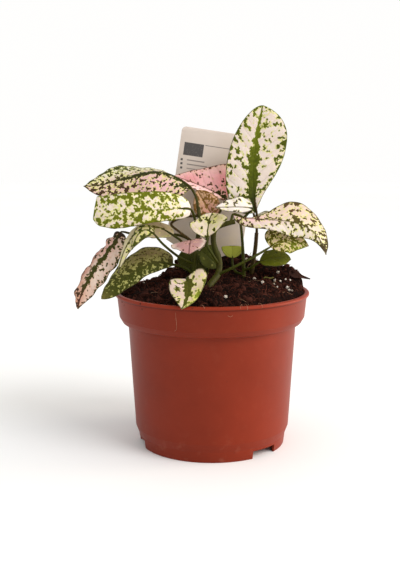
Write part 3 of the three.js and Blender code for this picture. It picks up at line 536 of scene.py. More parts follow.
def face_out(obj):
    """Makes the faces of a closed shape point outwards."""
    shape = bmesh.new()
    shape.from_mesh(obj.data)
    bmesh.ops.remove_doubles(shape, verts=shape.verts, dist=1e-7)
    bmesh.ops.recalc_face_normals(shape, faces=shape.faces)
    shape.to_mesh(obj.data)
    shape.free()
    obj.data.update()


def smooth(obj, angle):
    """Smooth shading, with edges sharper than the angle left sharp."""
    obj.data.shade_smooth()
    obj.data.set_sharp_from_angle(angle=math.radians(angle))


class NodeTree:
    """A node tree, with short calls that add a node, link what it takes and return its output."""

    def __init__(self, tree):
        self.nodes = tree.nodes
        self.links = tree.links

    def set(self, node, key, value):
        if hasattr(value, "is_output"):
            self.links.new(value, node.inputs[key])
        else:
            node.inputs[key].default_value = value

    def add(self, kind, values=None, **settings):
        node = self.nodes.new(kind)
        for key, value in settings.items():
            setattr(node, key, value)
        for key, value in (values or {}).items():
            self.set(node, key, value)
        return node

    def out(self, kind, values=None, **settings):
        """Adds a node and returns its first output."""
        return self.add(kind, values, **settings).outputs[0]

    def math(self, operation, *values, clamp=False):
        return self.out("ShaderNodeMath", dict(enumerate(values)), operation=operation, use_clamp=clamp)

    def plus(self, a, b, clamp=False):
        return self.math("ADD", a, b, clamp=clamp)

    def minus(self, a, b):
        return self.math("SUBTRACT", a, b)

    def times(self, a, b):
        return self.math("MULTIPLY", a, b)

    def combine(self, x, y, z=0.0):
        return self.out("ShaderNodeCombineXYZ", {0: x, 1: y, 2: z})

    def separate(self, vector):
        return self.add("ShaderNodeSeparateXYZ", {0: vector}).outputs


class Shader(NodeTree):
    """A material and its node tree."""

    def __init__(self, name):
        self.material = bpy.data.materials.new(name)
        self.material.use_nodes = True
        super().__init__(self.material.node_tree)

    def attribute(self, name, output="Fac"):
        return self.add("ShaderNodeAttribute", attribute_name=name).outputs[output]

    def ramp(self, value, low, high, out_low=0.0, out_high=1.0):
        values = {"Value": value, "From Min": low, "From Max": high, "To Min": out_low, "To Max": out_high}
        return self.out("ShaderNodeMapRange", values, clamp=True)

    def mix(self, amount, a, b, blend="MIX"):
        return self.add("ShaderNodeMix", {0: amount, 6: a, 7: b}, data_type="RGBA", blend_type=blend).outputs[2]

    def noise(self, vector, scale, detail=2.0, roughness=0.5, dimensions="3D"):
        values = {"Vector": vector, "Scale": scale, "Detail": detail, "Roughness": roughness}
        return self.out("ShaderNodeTexNoise", values, noise_dimensions=dimensions)

    def place(self):
        return self.add("ShaderNodeTexCoord").outputs["Object"]

    def mapped(self, vector, scale, rotation=(0.0, 0.0, 0.0)):
        return self.out("ShaderNodeMapping", {"Vector": vector, "Rotation": rotation, "Scale": scale})

    def bump(self, height, strength, distance):
        return self.out("ShaderNodeBump", {"Height": height, "Strength": strength, "Distance": distance})

    def finish(self, values):
        """Sets what the surface takes and ends the material."""
        for key, value in values.items():
            self.set(self.nodes["Principled BSDF"], key, value)
        return self.material


class Grower(NodeTree):
    """A geometry node tree with named inputs, each given with its usual value, and one for the material."""

    SOCKETS = {float: "NodeSocketFloat", int: "NodeSocketInt"}

    def __init__(self, name, inputs):
        self.tree = bpy.data.node_groups.new(name, "GeometryNodeTree")
        super().__init__(self.tree)
        face = self.tree.interface
        face.new_socket("Geometry", in_out="INPUT", socket_type="NodeSocketGeometry")
        face.new_socket("Geometry", in_out="OUTPUT", socket_type="NodeSocketGeometry")
        for key, usual in inputs.items():
            face.new_socket(key, in_out="INPUT", socket_type=self.SOCKETS[type(usual)]).default_value = usual
        face.new_socket("Material", in_out="INPUT", socket_type="NodeSocketMaterial")
        self.start = self.nodes.new("NodeGroupInput").outputs
        self.end = self.nodes.new("NodeGroupOutput")

    def random(self, low, high, seed, kind="FLOAT"):
        """A random value for each element, from low to high."""
        node = self.add("FunctionNodeRandomValue", data_type=kind)
        sockets = [s for s in node.inputs if s.enabled]
        sockets[0].default_value = low
        sockets[1].default_value = high
        sockets[-1].default_value = seed
        return next(s for s in node.outputs if s.enabled)

    def random_turn(self, seed):
        return self.random((0.0, 0.0, 0.0), (TURN, TURN, TURN), seed, "FLOAT_VECTOR")

    def between(self, low, high, share):
        return self.plus(low, self.times(self.minus(high, low), share))

    def scatter(self, upward=False):
        """Points at random over the faces, or over those that look up, with the way that each face looks."""
        values = {"Mesh": self.start["Geometry"], "Density": self.start["Density"], "Seed": self.start["Seed"]}
        if upward:
            rise = self.separate(self.out("GeometryNodeInputNormal"))[2]
            values["Selection"] = self.out("FunctionNodeCompare", {0: rise, 1: LEAST_RISE}, data_type="FLOAT",
                                           operation="GREATER_THAN")
        node = self.add("GeometryNodeDistributePointsOnFaces", values)
        return node.outputs["Points"], node.outputs["Rotation"]

    def ring(self, sides, radius=1.0):
        return self.out("GeometryNodeCurvePrimitiveCircle", {"Resolution": sides, "Radius": radius})

    def sweep(self, curve, section, values=None):
        """A tube along the curve."""
        return self.out("GeometryNodeCurveToMesh", {"Curve": curve, "Profile Curve": section, **(values or {})})

    def lay(self, points, shape, **values):
        """A copy of the shape at each point."""
        values = {key.capitalize(): value for key, value in values.items()}
        return self.out("GeometryNodeInstanceOnPoints", {"Points": points, "Instance": shape, **values})

    def ragged(self, geometry, scale, detail, reach):
        """Moves each point a little, by noise."""
        at = self.out("GeometryNodeInputPosition")
        lumps = self.add("ShaderNodeTexNoise", {"Vector": at, "Scale": scale, "Detail": detail}).outputs[1]
        centred = self.out("ShaderNodeVectorMath", {0: lumps, 1: (0.5, 0.5, 0.5)}, operation="SUBTRACT")
        shift = self.out("ShaderNodeVectorMath", {0: centred, "Scale": reach}, operation="SCALE")
        return self.out("GeometryNodeSetPosition", {"Geometry": geometry, "Offset": shift})

    def toned(self, geometry, seed):
        """Gives each copy a tone of its own."""
        node = self.add("GeometryNodeStoreNamedAttribute", {"Geometry": geometry, "Name": "tone"}, domain="INSTANCE")
        self.links.new(self.random(0.0, 1.0, seed), next(s for s in node.inputs if s.name == "Value" and s.enabled))
        return node.outputs[0]

    def realize(self, geometry):
        return self.out("GeometryNodeRealizeInstances", {"Geometry": geometry})

    def finish(self, geometry):
        """Realizes what was instanced, gives it the material and ends the tree."""
        values = {"Geometry": self.realize(geometry), "Material": self.start["Material"]}
        self.links.new(self.out("GeometryNodeSetMaterial", values), self.end.inputs[0])
        return self.tree


def grown(name, source, tree, values):
    """The tree's result on a source object, as a plain mesh object of its own; the source is removed."""
    modifier = source.modifiers.new(tree.name, "NODES")
    modifier.node_group = tree
    keys = {s.name: s.identifier for s in tree.interface.items_tree if s.item_type == "SOCKET" and s.in_out == "INPUT"}
    for key, value in values.items():
        modifier[keys[key]] = value
    bpy.context.view_layer.update()
    made = source.evaluated_get(bpy.context.evaluated_depsgraph_get())
    mesh = bpy.data.meshes.new_from_object(made)
    mesh.name = name
    bpy.data.objects.remove(source)
    if not mesh.polygons:
        raise RuntimeError(f"{name} has no faces")
    return link(name, mesh)


# Materials

def pot_plastic(settings):
    """Satin red-brown plastic, a little dusty, with fine scratches and specks of soil at the collar."""
    s = Shader("pot_plastic")
    at = s.place()
    z = s.separate(at)[2]
    cloudy = s.noise(at, 28.0, 4.0, 0.6)
    base = screen([c * 255 for c in settings.colour])
    colour = s.mix(s.ramp(cloudy, 0.35, 0.7), shaded(base, 0.93), shaded(base, 1.1, 0.001))
    # a little dry dust low on the wall
    dusty = s.times(s.ramp(s.noise(at, 160.0, 3.0, 0.6), 0.55, 0.8), s.ramp(z, 0.02, 0.002, 0.03, 0.22))
    colour = s.mix(dusty, colour, screen((176, 120, 98)))
    # painted highlight: the lip is made lighter
    colour = s.mix(s.times(s.ramp(z, 0.0962, 0.0968), 0.8), colour, shaded(base, 1.22))
    # painted shadow: a dark line in the crease under the lip
    painted_lip_shadow = s.times(s.ramp(z, 0.0949, 0.0955), s.ramp(z, 0.0963, 0.0958))
    colour = s.mix(s.times(painted_lip_shadow, s.ramp(cloudy, 0.3, 0.6, 0.25, 0.75)), colour, screen((64, 22, 14)))
    # soil specks, most of them near the rim
    cells = s.add("ShaderNodeTexVoronoi", {"Vector": at, "Scale": 210.0}, feature="F1")
    speck = s.times(s.ramp(cells.outputs["Distance"], 0.16, 0.1), s.ramp(s.noise(at, 60.0), 0.6, 0.66))
    speck = s.times(speck, s.plus(s.times(s.ramp(z, 0.072, 0.096), 0.9), 0.12))
    colour = s.mix(speck, colour, screen((44, 28, 22)))
    # fine scratches
    scratch = s.ramp(s.noise(s.mapped(at, (9.0, 9.0, 90.0), (0.3, 0.5, 0.4)), 18.0, 3.0, 0.7), 0.69, 0.74)
    colour = s.mix(s.times(scratch, 0.1), colour, screen((190, 116, 92)))
    # faint rings from the mould
    rings = s.noise(s.mapped(at, (1.0, 1.0, 26.0)), 34.0, 1.0, 0.4)
    height = s.plus(s.times(s.noise(at, 900.0), 0.25), s.plus(s.times(rings, 0.5), cloudy))
    return s.finish({
        "Base Color": colour, "Specular IOR Level": 0.16, "Normal": s.bump(height, 0.12, 0.0005),
        "Roughness": s.plus(s.plus(0.36, s.times(cloudy, 0.16)), s.times(speck, 0.4)),
    })


def peat(name, dark, light, rough=0.95):
    """Crumbly peat; the tone attribute makes each crumb lighter or darker."""
    s = Shader(name)
    at = s.place()
    patches = s.ramp(s.noise(at, 320.0, 4.0, 0.65), 0.3, 0.7)
    share = s.plus(s.times(patches, 0.55), s.times(s.attribute("tone"), 0.45), clamp=True)
    return s.finish({
        "Base Color": s.mix(share, screen(dark), screen(light)), "Roughness": rough, "Specular IOR Level": 0.06,
        "Normal": s.bump(s.noise(at, 1400.0, 4.0, 0.7), 0.7, 0.0006),
    })


def perlite():
    """White porous grains, a little soiled in their hollows."""
    s = Shader("perlite")
    pores = s.noise(s.place(), 1600.0, 4.0, 0.6)
    colour = s.mix(s.ramp(pores, 0.62, 0.36), screen((232, 224, 212)), screen((150, 130, 108)))
    return s.finish({"Base Color": colour, "Roughness": 0.9, "Normal": s.bump(pores, 0.6, 0.0004)})


def stem_skin():
    """Juicy green skin that turns red-brown with the brown attribute, finely ribbed along its length."""
    s = Shader("stem_skin")
    at = s.place()
    streaks = s.noise(s.mapped(at, (1.0, 1.0, 0.12)), 1500.0, 3.0, 0.6)
    blush = s.times(s.minus(s.noise(at, 130.0), 0.5), 0.7)
    light = s.ramp(streaks, 0.3, 0.7)
    green = s.mix(light, screen((38, 43, 4)), screen((66, 70, 8)))
    brown = s.mix(light, screen((42, 30, 11)), screen((78, 56, 23)))
    share = s.plus(s.attribute("brown"), blush, clamp=True)
    return s.finish({
        "Base Color": s.mix(share, green, brown), "Roughness": 0.5, "Specular IOR Level": 0.12,
        "Subsurface Weight": 0.06, "Subsurface Scale": 0.001, "Normal": s.bump(streaks, 0.35, 0.0003),
    })


def hair_fuzz():
    """Pale downy hairs."""
    s = Shader("hair_fuzz")
    colour = s.mix(s.noise(s.place(), 200.0), screen((84, 82, 30)), screen((136, 130, 70)))
    return s.finish({"Base Color": colour, "Roughness": 0.7})


def label_card():
    """Matt off-white plastic with plain printed blocks, bars and squares."""
    s = Shader("label_card")
    across, down, _ = s.separate(s.attribute("print", "Vector"))
    at = s.place()
    grain = s.noise(at, 1300.0, 3.0, 0.6)
    colour = s.mix(s.ramp(s.noise(at, 40.0, 3.0), 0.3, 0.7), screen((209, 194, 182)), screen((218, 204, 193)))
    # painted light: the lower label, where the leaves shade it, is made lighter and warmer in patches
    painted_lower_light = s.times(s.ramp(down, 48.0, 84.0), s.ramp(s.noise(at, 90.0, 4.0, 0.6), 0.35, 0.65))
    colour = s.mix(s.times(painted_lower_light, 0.7), colour, screen((236, 216, 176)))
    printed = 0.0
    for left, top, right, bottom, ink in LABEL_MARKS:
        inside = ink
        for run, low, high in ((across, left, right), (down, top, bottom)):
            for inner, outer in ((low, low - INK_BLUR), (high, high + INK_BLUR)):
                inside = s.times(inside, s.ramp(run, outer, 2 * inner - outer))
        printed = s.math("MAXIMUM", printed, inside)
    worn = s.ramp(grain, 0.28, 0.42, 0.75, 1.0)
    colour = s.mix(s.times(printed, worn), colour, screen((38, 36, 40)))
    return s.finish({
        "Base Color": colour, "Roughness": s.ramp(grain, 0.3, 0.7, 0.48, 0.62),
        "Normal": s.bump(grain, 0.12, 0.0003),
    })


def leaf_skin(name, fringe, vein, settings):
    """A leaf's skin: ragged flecks with a pale fringe over the ground colour, veins, midrib and dark margin.

    The blade attribute holds millimetres across and along the blade and a number for each leaf, so that the
    pattern follows the veins. The flecks are filled cell by cell, which gives their stepped edges.
    """
    s = Shader(name)
    across, along, leaf_number = s.separate(s.attribute("blade", "Vector"))
    ground = s.attribute("ground", "Color")
    flecks = s.attribute("flecks", "Color")
    grain = s.attribute("grain")

    # Coordinates along and across the side veins, different on the two halves
    out = s.math("ABSOLUTE", across)
    start = s.plus(s.times(leaf_number, 17.0), s.times(s.math("SIGN", across), 31.0))
    vein_long = s.plus(s.times(out, VEIN_LEAN[0]), s.times(along, VEIN_LEAN[1]))
    vein_over = s.minus(s.times(along, VEIN_LEAN[0]), s.times(out, VEIN_LEAN[1]))
    cell = settings.cell_size / MM
    u = s.math("DIVIDE", s.math("DIVIDE", vein_long, cell * 1.08), grain)
    v = s.math("DIVIDE", s.math("DIVIDE", vein_over, cell * 0.95), grain)
    sheet = s.combine(s.plus(u, start), s.plus(v, start))
    cells = s.add("ShaderNodeTexVoronoi", {"Vector": sheet, "Scale": 1.0, "Randomness": 0.95},
                  feature="F1", distance="CHEBYCHEV", voronoi_dimensions="2D")
    stepped, free = (s.noise(s.mapped(spot, (0.9, 1.0, 1.0)), settings.patch_scale, 2.5, 0.62, "2D")
                     for spot in (cells.outputs["Position"], sheet))
    level = s.ramp(s.attribute("amount"), 0.0, 1.0, 0.74, 0.26)
    fleck = s.ramp(s.minus(stepped, level), -0.006, 0.006)
    halo = s.ramp(s.minus(s.math("MAXIMUM", stepped, free), level), -0.05, -0.012)
    fine = s.noise(sheet, 0.5, 3.0, 0.7, "2D")
    broad = s.noise(s.combine(across, along, leaf_number), 0.09)

    # Midrib's own line, a thin margin, and side veins as faint lines
    line = s.times(s.ramp(out, 0.55, 0.3), s.attribute("rib"))
    wobble = s.times(s.minus(free, 0.5), 0.9)
    margin = s.ramp(s.plus(s.attribute("edge"), wobble), 0.55, 0.25)
    beat = s.math("PINGPONG", s.plus(vein_over, s.times(fine, 0.6)), settings.vein_spacing / MM / 2)
    vein_line = s.times(s.ramp(beat, 0.42, 0.12), s.ramp(out, 0.2, 2.0))

    mottle = s.ramp(fine, 0.3, 0.7)
    colour = s.mix(s.times(s.ramp(broad, 0.35, 0.7), 0.22), ground, screen(vein))
    # painted highlight: pale glints where the fine noise peaks
    painted_glints = s.mix(1.0, ground, (1.4, 1.4, 1.4, 1.0), "MULTIPLY")
    colour = s.mix(s.times(s.ramp(fine, 0.55, 0.75), 0.3), colour, painted_glints)
    colour = s.mix(s.times(vein_line, 0.22), colour, screen(vein))
    colour = s.mix(s.times(halo, 0.7), colour, screen(fringe))
    shade = s.mix(mottle, s.mix(0.42, flecks, (0.0, 0.0, 0.0, 1.0)), flecks)
    colour = s.mix(s.math("MAXIMUM", fleck, line), colour, shade)
    colour = s.mix(s.times(margin, 0.8), colour, s.mix(0.4, flecks, screen((44, 40, 14))))
    # the underside is paler
    colour = s.mix(s.attribute("under"), colour, s.mix(0.42, colour, screen((214, 206, 176))))
    puffed = s.minus(1.0, cells.outputs["Distance"])
    height = s.minus(s.plus(s.times(puffed, 0.35), s.times(vein_line, -1.2)), line)
    return s.finish({
        "Base Color": colour, "Roughness": s.ramp(fine, 0.3, 0.7, 0.5, 0.66), "Specular IOR Level": 0.1,
        "Subsurface Weight": 0.06, "Subsurface Scale": 0.0008, "Subsurface Radius": (1.0, 0.8, 0.5),
        "Normal": s.bump(height, 0.35, 0.0004),
    })


def plain_floor():
    """Nearly white paper."""
    s = Shader("studio_floor")
    colour = s.mix(s.noise(s.place(), 3.0), screen((244, 244, 243)), screen((250, 250, 249)))
    return s.finish({"Base Color": colour, "Roughness": 0.85})


# Leaf shapes, as arrays

def along_midrib(mid, u):
    """Points of the cubic through the four midrib points, at each u."""
    t = 3 * np.asarray(u, dtype=float)[..., None]
    p = np.asarray(mid, dtype=float)
    return (-(t - 1) * (t - 2) * (t - 3) / 6 * p[0] + t * (t - 2) * (t - 3) / 2 * p[1]
            - t * (t - 1) * (t - 3) / 2 * p[2] + t * (t - 1) * (t - 2) / 6 * p[3])


def unit(v):
    """The vectors, each made one long."""
    return v / np.maximum(np.linalg.norm(v, axis=-1, keepdims=True), 1e-9)


def half_outline(u, peak, base, tip, blunt):
    """A half blade's share of its width along the blade."""
    near = np.clip(1 - (1 - u / peak) ** 2, 0, 1) ** base
    far = np.clip(1 - np.clip((u - peak) / (1 - peak), 0, 1) ** tip, 0, 1) ** blunt
    return np.where(u < peak, near, far)


def blade_surface(leaf):
    """The blade's middle surface on a grid, with millimetres along and across, and the distance to its edge."""
    rows, columns = leaf["rows"], leaf["columns"]
    even = np.linspace(0, 1, rows + 1)
    u = (even + (0.5 - 0.5 * np.cos(math.pi * even) - even) * END_ROWS)[:, None]
    s = np.linspace(-1, 1, columns + 1)[None, :]
    step = 0.01
    centre = along_midrib(leaf["mid"], u[:, 0])
    along = unit(along_midrib(leaf["mid"], u[:, 0] + step) - along_midrib(leaf["mid"], u[:, 0] - step))
    face = np.asarray(leaf["face"], dtype=float)
    up = face[0] + (face[1] - face[0]) * u
    up = unit(up - along * (up * along).sum(-1, keepdims=True))
    right = np.cross(along, up)
    width, share, angle, back = (np.zeros((rows + 1, columns + 1)) for _ in range(4))
    for side, mask in ((0, s < 0), (1, s >= 0)):
        part = half_outline(u, leaf["peak"][side], leaf["base"][side], leaf["tip"][side], leaf["blunt"])
        part_width = np.maximum(leaf["half"][side] * part, TIP_HALF_WIDTH)
        part_width = np.maximum(part_width, PETIOLE_RADIUS * (1 - u) ** 8)
        fold = leaf["fold"][side][0] + (leaf["fold"][side][1] - leaf["fold"][side][0]) * u
        turned = (fold + leaf["curl"][side] * np.abs(s) / 2) * np.minimum(1, part / FLAT_END)
        width = np.where(mask, part_width, width)
        share = np.where(mask, part, share)
        angle = np.where(mask, np.radians(turned), angle)
        reach = leaf["lobe"][side] * s * s * (part_width / leaf["half"][side]) * (1 - u) ** 2
        back = np.where(mask, reach, back)
    height, count, phase = leaf["wave"]
    turn = 2 * math.pi * count * u + phase + WAVE_SHIFT * (s >= 0)
    ripple = height * s * s * share * np.sin(turn)
    length = np.concatenate([[0], np.cumsum(np.linalg.norm(np.diff(centre, axis=0), axis=1))])
    across = width * s
    points = (centre[:, None] - along[:, None] * back[..., None]
              + right[:, None] * (across * np.cos(angle))[..., None]
              + up[:, None] * (width * np.abs(s) * np.sin(angle) + ripple)[..., None])
    down_blade = np.repeat(length[:, None], columns + 1, axis=1)
    edge = np.minimum((1 - np.abs(s)) * width, np.minimum(down_blade + 1.5, (length[-1] - down_blade) * 0.9))
    return points, u, s, across, down_blade, edge, share


def blade_normals(points):
    """The surface's normals; those at the blade's ends are taken from their neighbours."""
    n = unit(np.cross(np.gradient(points, axis=1), np.gradient(points, axis=0)))
    n[:2] = n[2]
    n[-2:] = n[-3]
    return n


def soft_patches(u, s, base, patches):
    """A base value with each soft patch laid over it."""
    value = np.broadcast_to(np.asarray(base, dtype=float), (*np.broadcast(u, s).shape, np.size(base))).copy()
    for at_u, at_s, reach_u, reach_s, tint in patches:
        weight = np.exp(-((u - at_u) / reach_u) ** 2 - ((s - at_s) / reach_s) ** 2)[..., None]
        value += (np.asarray(tint, dtype=float) - value) * weight
    return value


def smooth_path(points, steps):
    """A centripetal path through the points, evenly spaced."""
    p = [np.asarray(q, dtype=float) for q in points]
    p = [2 * p[0] - p[1], *p, 2 * p[-1] - p[-2]]
    out = []
    for a, b, c, d in zip(p, p[1:], p[2:], p[3:]):
        t = np.cumsum([0] + [max(np.linalg.norm(y - x), 1e-6) ** 0.5 for x, y in ((a, b), (b, c), (c, d))])
        for x in np.linspace(t[1], t[2], 12, endpoint=False):
            ab = a + (b - a) * (x - t[0]) / (t[1] - t[0])
            bc = b + (c - b) * (x - t[1]) / (t[2] - t[1])
            cd = c + (d - c) * (x - t[2]) / (t[3] - t[2])
            abc = ab + (bc - ab) * (x - t[0]) / (t[2] - t[0])
            bcd = bc + (cd - bc) * (x - t[1]) / (t[3] - t[1])
            out.append(abc + (bcd - abc) * (x - t[1]) / (t[2] - t[1]))
    out.append(p[-2])
    out = np.array(out)
    run = np.concatenate([[0], np.cumsum(np.linalg.norm(np.diff(out, axis=0), axis=1))])
    even = np.linspace(0, run[-1], steps + 1)
    return np.stack([np.interp(even, run, out[:, k]) for k in range(3)], axis=1)


def round_tube(path, radii, sides):
    """Points and faces of a closed round tube along a path, with its radius at each point."""
    tangent = unit(np.gradient(path, axis=0))
    side = unit(np.cross(tangent[0], [0.3, 0.9, 0.1]))
    points = []
    for centre, t, radius in zip(path, tangent, radii):
        side = unit(side - t * (side @ t))
        other = np.cross(t, side)
        for k in range(sides):
            a = 2 * math.pi * k / sides
            points.append(centre + radius * (side * math.cos(a) + other * math.sin(a)))
    faces = []
    for i in range(len(path) - 1):
        for k in range(sides):
            a, b = i * sides + k, i * sides + (k + 1) % sides
            faces.append((a, b, b + sides, a + sides))
    faces.append(tuple(reversed(range(sides))))
    faces.append(tuple(range((len(path) - 1) * sides, len(path) * sides)))
    return points, faces


def slab_faces(rows, columns):
    """Faces of a closed slab between two grids of points, the second numbered after the first."""
    line, count = columns + 1, (rows + 1) * (columns + 1)
    faces = []
    for i in range(rows):
        for j in range(columns):
            a = i * line + j
            faces.append((a, a + 1, a + 1 + line, a + line))
            faces.append((count + a, count + a + line, count + a + 1 + line, count + a + 1))
        left, right = i * line, i * line + columns
        faces.append((left, left + line, count + left + line, count + left))
        faces.append((right, count + right, count + right + line, right + line))
    last = rows * line
    for j in range(columns):
        faces.append((j, count + j, count + j + 1, j + 1))
        faces.append((last + j, last + j + 1, count + last + j + 1, count + last + j))
    return faces


def shifted(faces, by):
    """The faces with every point's number raised."""
    return [tuple(by + k for k in face) for face in faces]


def joined(tubes):
    """Points and faces of several tubes as those of one mesh."""
    points, faces = [], []
    for tube_points, tube_faces in tubes:
        faces += shifted(tube_faces, len(points))
        points += tube_points
    return points, faces


def petiole_tube(leaf, sides=10):
    """Points and faces of a leaf's petiole, which tapers where it runs into the blade."""
    path = smooth_path([*leaf["petiole"], leaf["mid"][0], along_midrib(leaf["mid"], 0.12)], 30)
    radii = np.linspace(PETIOLE_RADIUS, PETIOLE_END_RADIUS, len(path))
    radii[-6:] *= np.linspace(1, 0.45, 6)
    return round_tube(path, radii, sides)


def make_leaf(name, number, skins, stem_material, thickness):
    """A leaf: its quilted blade, grooved above and keeled below, and its petiole."""
    leaf = {**USUAL_LEAF, **LEAVES[name]}
    look = {**USUAL_LOOK, **LOOKS.get(name, {})}
    points, u, s, across, down_blade, edge, share = blade_surface(leaf)
    normals = blade_normals(points)
    over = down_blade * VEIN_LEAN[0] - np.abs(across) * VEIN_LEAN[1]
    pillow = np.abs(np.sin(math.pi * over / QUILT_SPACING)) ** 0.7 - 0.6
    fade = np.clip(np.abs(across) / 2.5, 0, 1) * np.clip(edge / 2.0, 0, 1) * np.clip(share * 2, 0, 1)
    lift = leaf["quilt"] * pillow * fade
    frill = FRILL[0] * np.sin(2 * math.pi * down_blade / FRILL[1] + number)
    lift += frill * np.abs(s) ** 4 * np.clip(share * 3, 0, 1)
    if leaf["crinkle"]:
        rough = np.array([[noise.noise(Vector((a / 2.6, b / 3.4, number))) for a, b in zip(ra, rb)]
                          for ra, rb in zip(across, down_blade)])
        lift += leaf["crinkle"] * rough * np.clip(s + 0.5, 0, 1) * np.clip(share * 3, 0, 1)
    points = points + normals * lift[..., None]
    normals = blade_normals(points)
    half = thickness / MM / 2 * (1 - 0.45 * np.abs(s) ** 6) * np.ones_like(across)
    groove = GROOVE[0] * np.exp(-(across / GROOVE[1]) ** 2) * np.clip(1 - u, 0.2, 1)
    keel = KEEL[0] * np.exp(-(across / KEEL[1]) ** 2) * np.clip(1 - u, 0.1, 1)
    upper = points + normals * (half - groove)[..., None]
    lower = points - normals * (half + keel)[..., None]

    faces = slab_faces(leaf["rows"], leaf["columns"])
    blade_faces, count = len(faces), across.size
    tube_points, tube_faces = petiole_tube(leaf)
    faces += shifted(tube_faces, 2 * count)

    def tinted(base, patches):
        """A colour over the blade, with its soft patches."""
        return soft_patches(u, s, screen(base)[:3], [(*p[:4], screen(p[4])[:3]) for p in patches])

    ground = tinted(look["ground"], look["tints"])
    fleck = tinted(look["flecks"], look["fleck_tints"])
    strength, base_width, tip_width = look["band"]
    amount = look["amount"] + strength * np.exp(-(s / (base_width + (tip_width - base_width) * u)) ** 2)
    edge_change, edge_reach = look["edge"]
    amount = amount + edge_change * np.exp(-edge / edge_reach)
    for at_u, at_s, reach_u, reach_s, change in look["spots"]:
        amount = amount + change * np.exp(-((u - at_u) / reach_u) ** 2 - ((s - at_s) / reach_s) ** 2)

    def both(values, petiole):
        """The values of the upper face, the same below, and one value on the petiole."""
        flat = values.reshape(count, -1)
        tail = np.broadcast_to(np.asarray(petiole, dtype=float), (len(tube_points), flat.shape[1]))
        return np.concatenate([flat, flat, tail])

    place_on = np.stack([across, down_blade, np.full_like(across, number)], axis=-1)
    brown = np.full(2 * count + len(tube_points), leaf["brown"])
    attributes = {
        "blade": both(place_on, 0.0),
        "ground": np.c_[both(ground, 0.5), np.ones(len(brown))],
        "flecks": np.c_[both(fleck, 0.5), np.ones(len(brown))],
        "amount": both(np.broadcast_to(amount, across.shape), 0.0)[:, 0],
        "edge": both(edge, 5.0)[:, 0],
        "under": np.r_[np.zeros(count), np.ones(count), np.zeros(len(tube_points))],
        "rib": np.full(len(brown), look["rib"]),
        "grain": np.full(len(brown), look["grain"]),
        "brown": brown,
    }
    all_points = np.concatenate([upper.reshape(-1, 3), lower.reshape(-1, 3), np.array(tube_points)])
    slots = [0] * blade_faces + [1] * (len(faces) - blade_faces)
    materials = (skins[look["slot"]], stem_material)
    place(mesh_object(name + "_fine", all_points, faces, materials, attributes, slots), [name])


# Soil

def soil_level(x, y):
    """The height of the soil before its clods: a mound with a heap at the right and a ridge behind the stems."""
    edge = RIM_RADIUS - WALL
    share = min((x * x + y * y) / (edge * edge), 1)
    heap_x, heap_y, reach, heap_height = SOIL_HEAP
    hx, hy = (x - heap_x) / reach, (y - heap_y) / reach
    heap = heap_height * math.exp(-hx * hx - hy * hy)
    ridge_x, ridge_y, length, width, ridge_height = SOIL_RIDGE
    rx, ry = (x - ridge_x) / length, (y - ridge_y) / width
    ridge = ridge_height * math.exp(-rx ** 4 - ry * ry)
    bumps = math.sin(0.31 * x + 1) * math.cos(0.27 * y) + 0.6 * math.sin(0.39 * x - 0.4 * y)
    return SOIL_EDGE_Z + SOIL_MOUND * (1 - share) ** 0.8 + heap + ridge + 0.9 * bumps


def soil_rough(x, y):
    """The soil's level with its clods and hollows."""
    clod = noise.fractal(Vector((x / 7, y / 7, 3.1)), 1.0, 2.0, 4)
    fine = noise.noise(Vector((x / 1.3, y / 1.3, 8.0)))
    return soil_level(x, y) + 1.1 * clod + 0.35 * fine


def on_pot(x, z, off):
    """A point in front of the pot's collar, as far off its wall as asked."""
    share = (z - COLLAR_FOOT[1]) / (POT_HEIGHT - COLLAR_FOOT[1])
    radius = COLLAR_FOOT[0] + (RIM_RADIUS - COLLAR_FOOT[0]) * share + off
    return x, -math.sqrt(radius * radius - x * x), z


def flat_scrap(name, centre, length, width, turn, lift, material, lean=1.0):
    """A thin curled scrap with a ragged outline, lying on the soil; under 1, lean makes its far end a point."""
    rows, columns, thickness = 14, 6, 0.35
    spin = Euler(turn).to_matrix()
    top = []
    for i in range(rows + 1):
        u = i / rows
        half = width / 2 * math.sin(math.pi * (0.06 + 0.88 * u ** lean)) ** 0.6
        half *= (1 + 0.25 * math.sin(9 * u + centre[0])) * (1 - 1.8 * (1 - lean) * u * u)
        for j in range(columns + 1):
            s = 2 * j / columns - 1
            curl = 0.9 * s * s + 0.5 * math.sin(7 * u)
            top.append(Vector(centre) + spin @ Vector(((u - 0.5) * length, half * s, curl * lift)))
    points = [tuple(p) for p in top] + [(p.x, p.y, p.z - thickness) for p in top]
    faces = [(face[0], *face[:0:-1]) for face in slab_faces(rows, columns)]
    obj = mesh_object(name, points, faces, (material,))
    face_out(obj)
    smooth(obj, 40)
    place(obj)


# Geometry node trees

def crumb_tree():
    """Crumbs strewn over the faces that look up, each turned, stretched and toned at random."""
    g = Grower("Soil crumbs", {"Density": 1.0, "Smallest": 0.0003, "Largest": 0.0014, "Facets": 1, "Seed": 3})
    points, _ = g.scatter(upward=True)
    ball = g.out("GeometryNodeMeshIcoSphere", {"Radius": 1.0, "Subdivisions": g.start["Facets"]})
    size = g.between(g.start["Smallest"], g.start["Largest"], g.math("POWER", g.random(0.0, 1.0, 11), 2.6))
    stretch = g.combine(*(g.times(size, g.random(low, high, seed))
                          for low, high, seed in ((0.6, 1.5, 12), (0.5, 1.1, 13), (0.4, 0.9, 14))))
    laid = g.lay(points, ball, rotation=g.random_turn(15), scale=stretch)
    return g.finish(g.ragged(g.realize(g.toned(laid, 16)), 1500.0, 1.0, 0.0006))


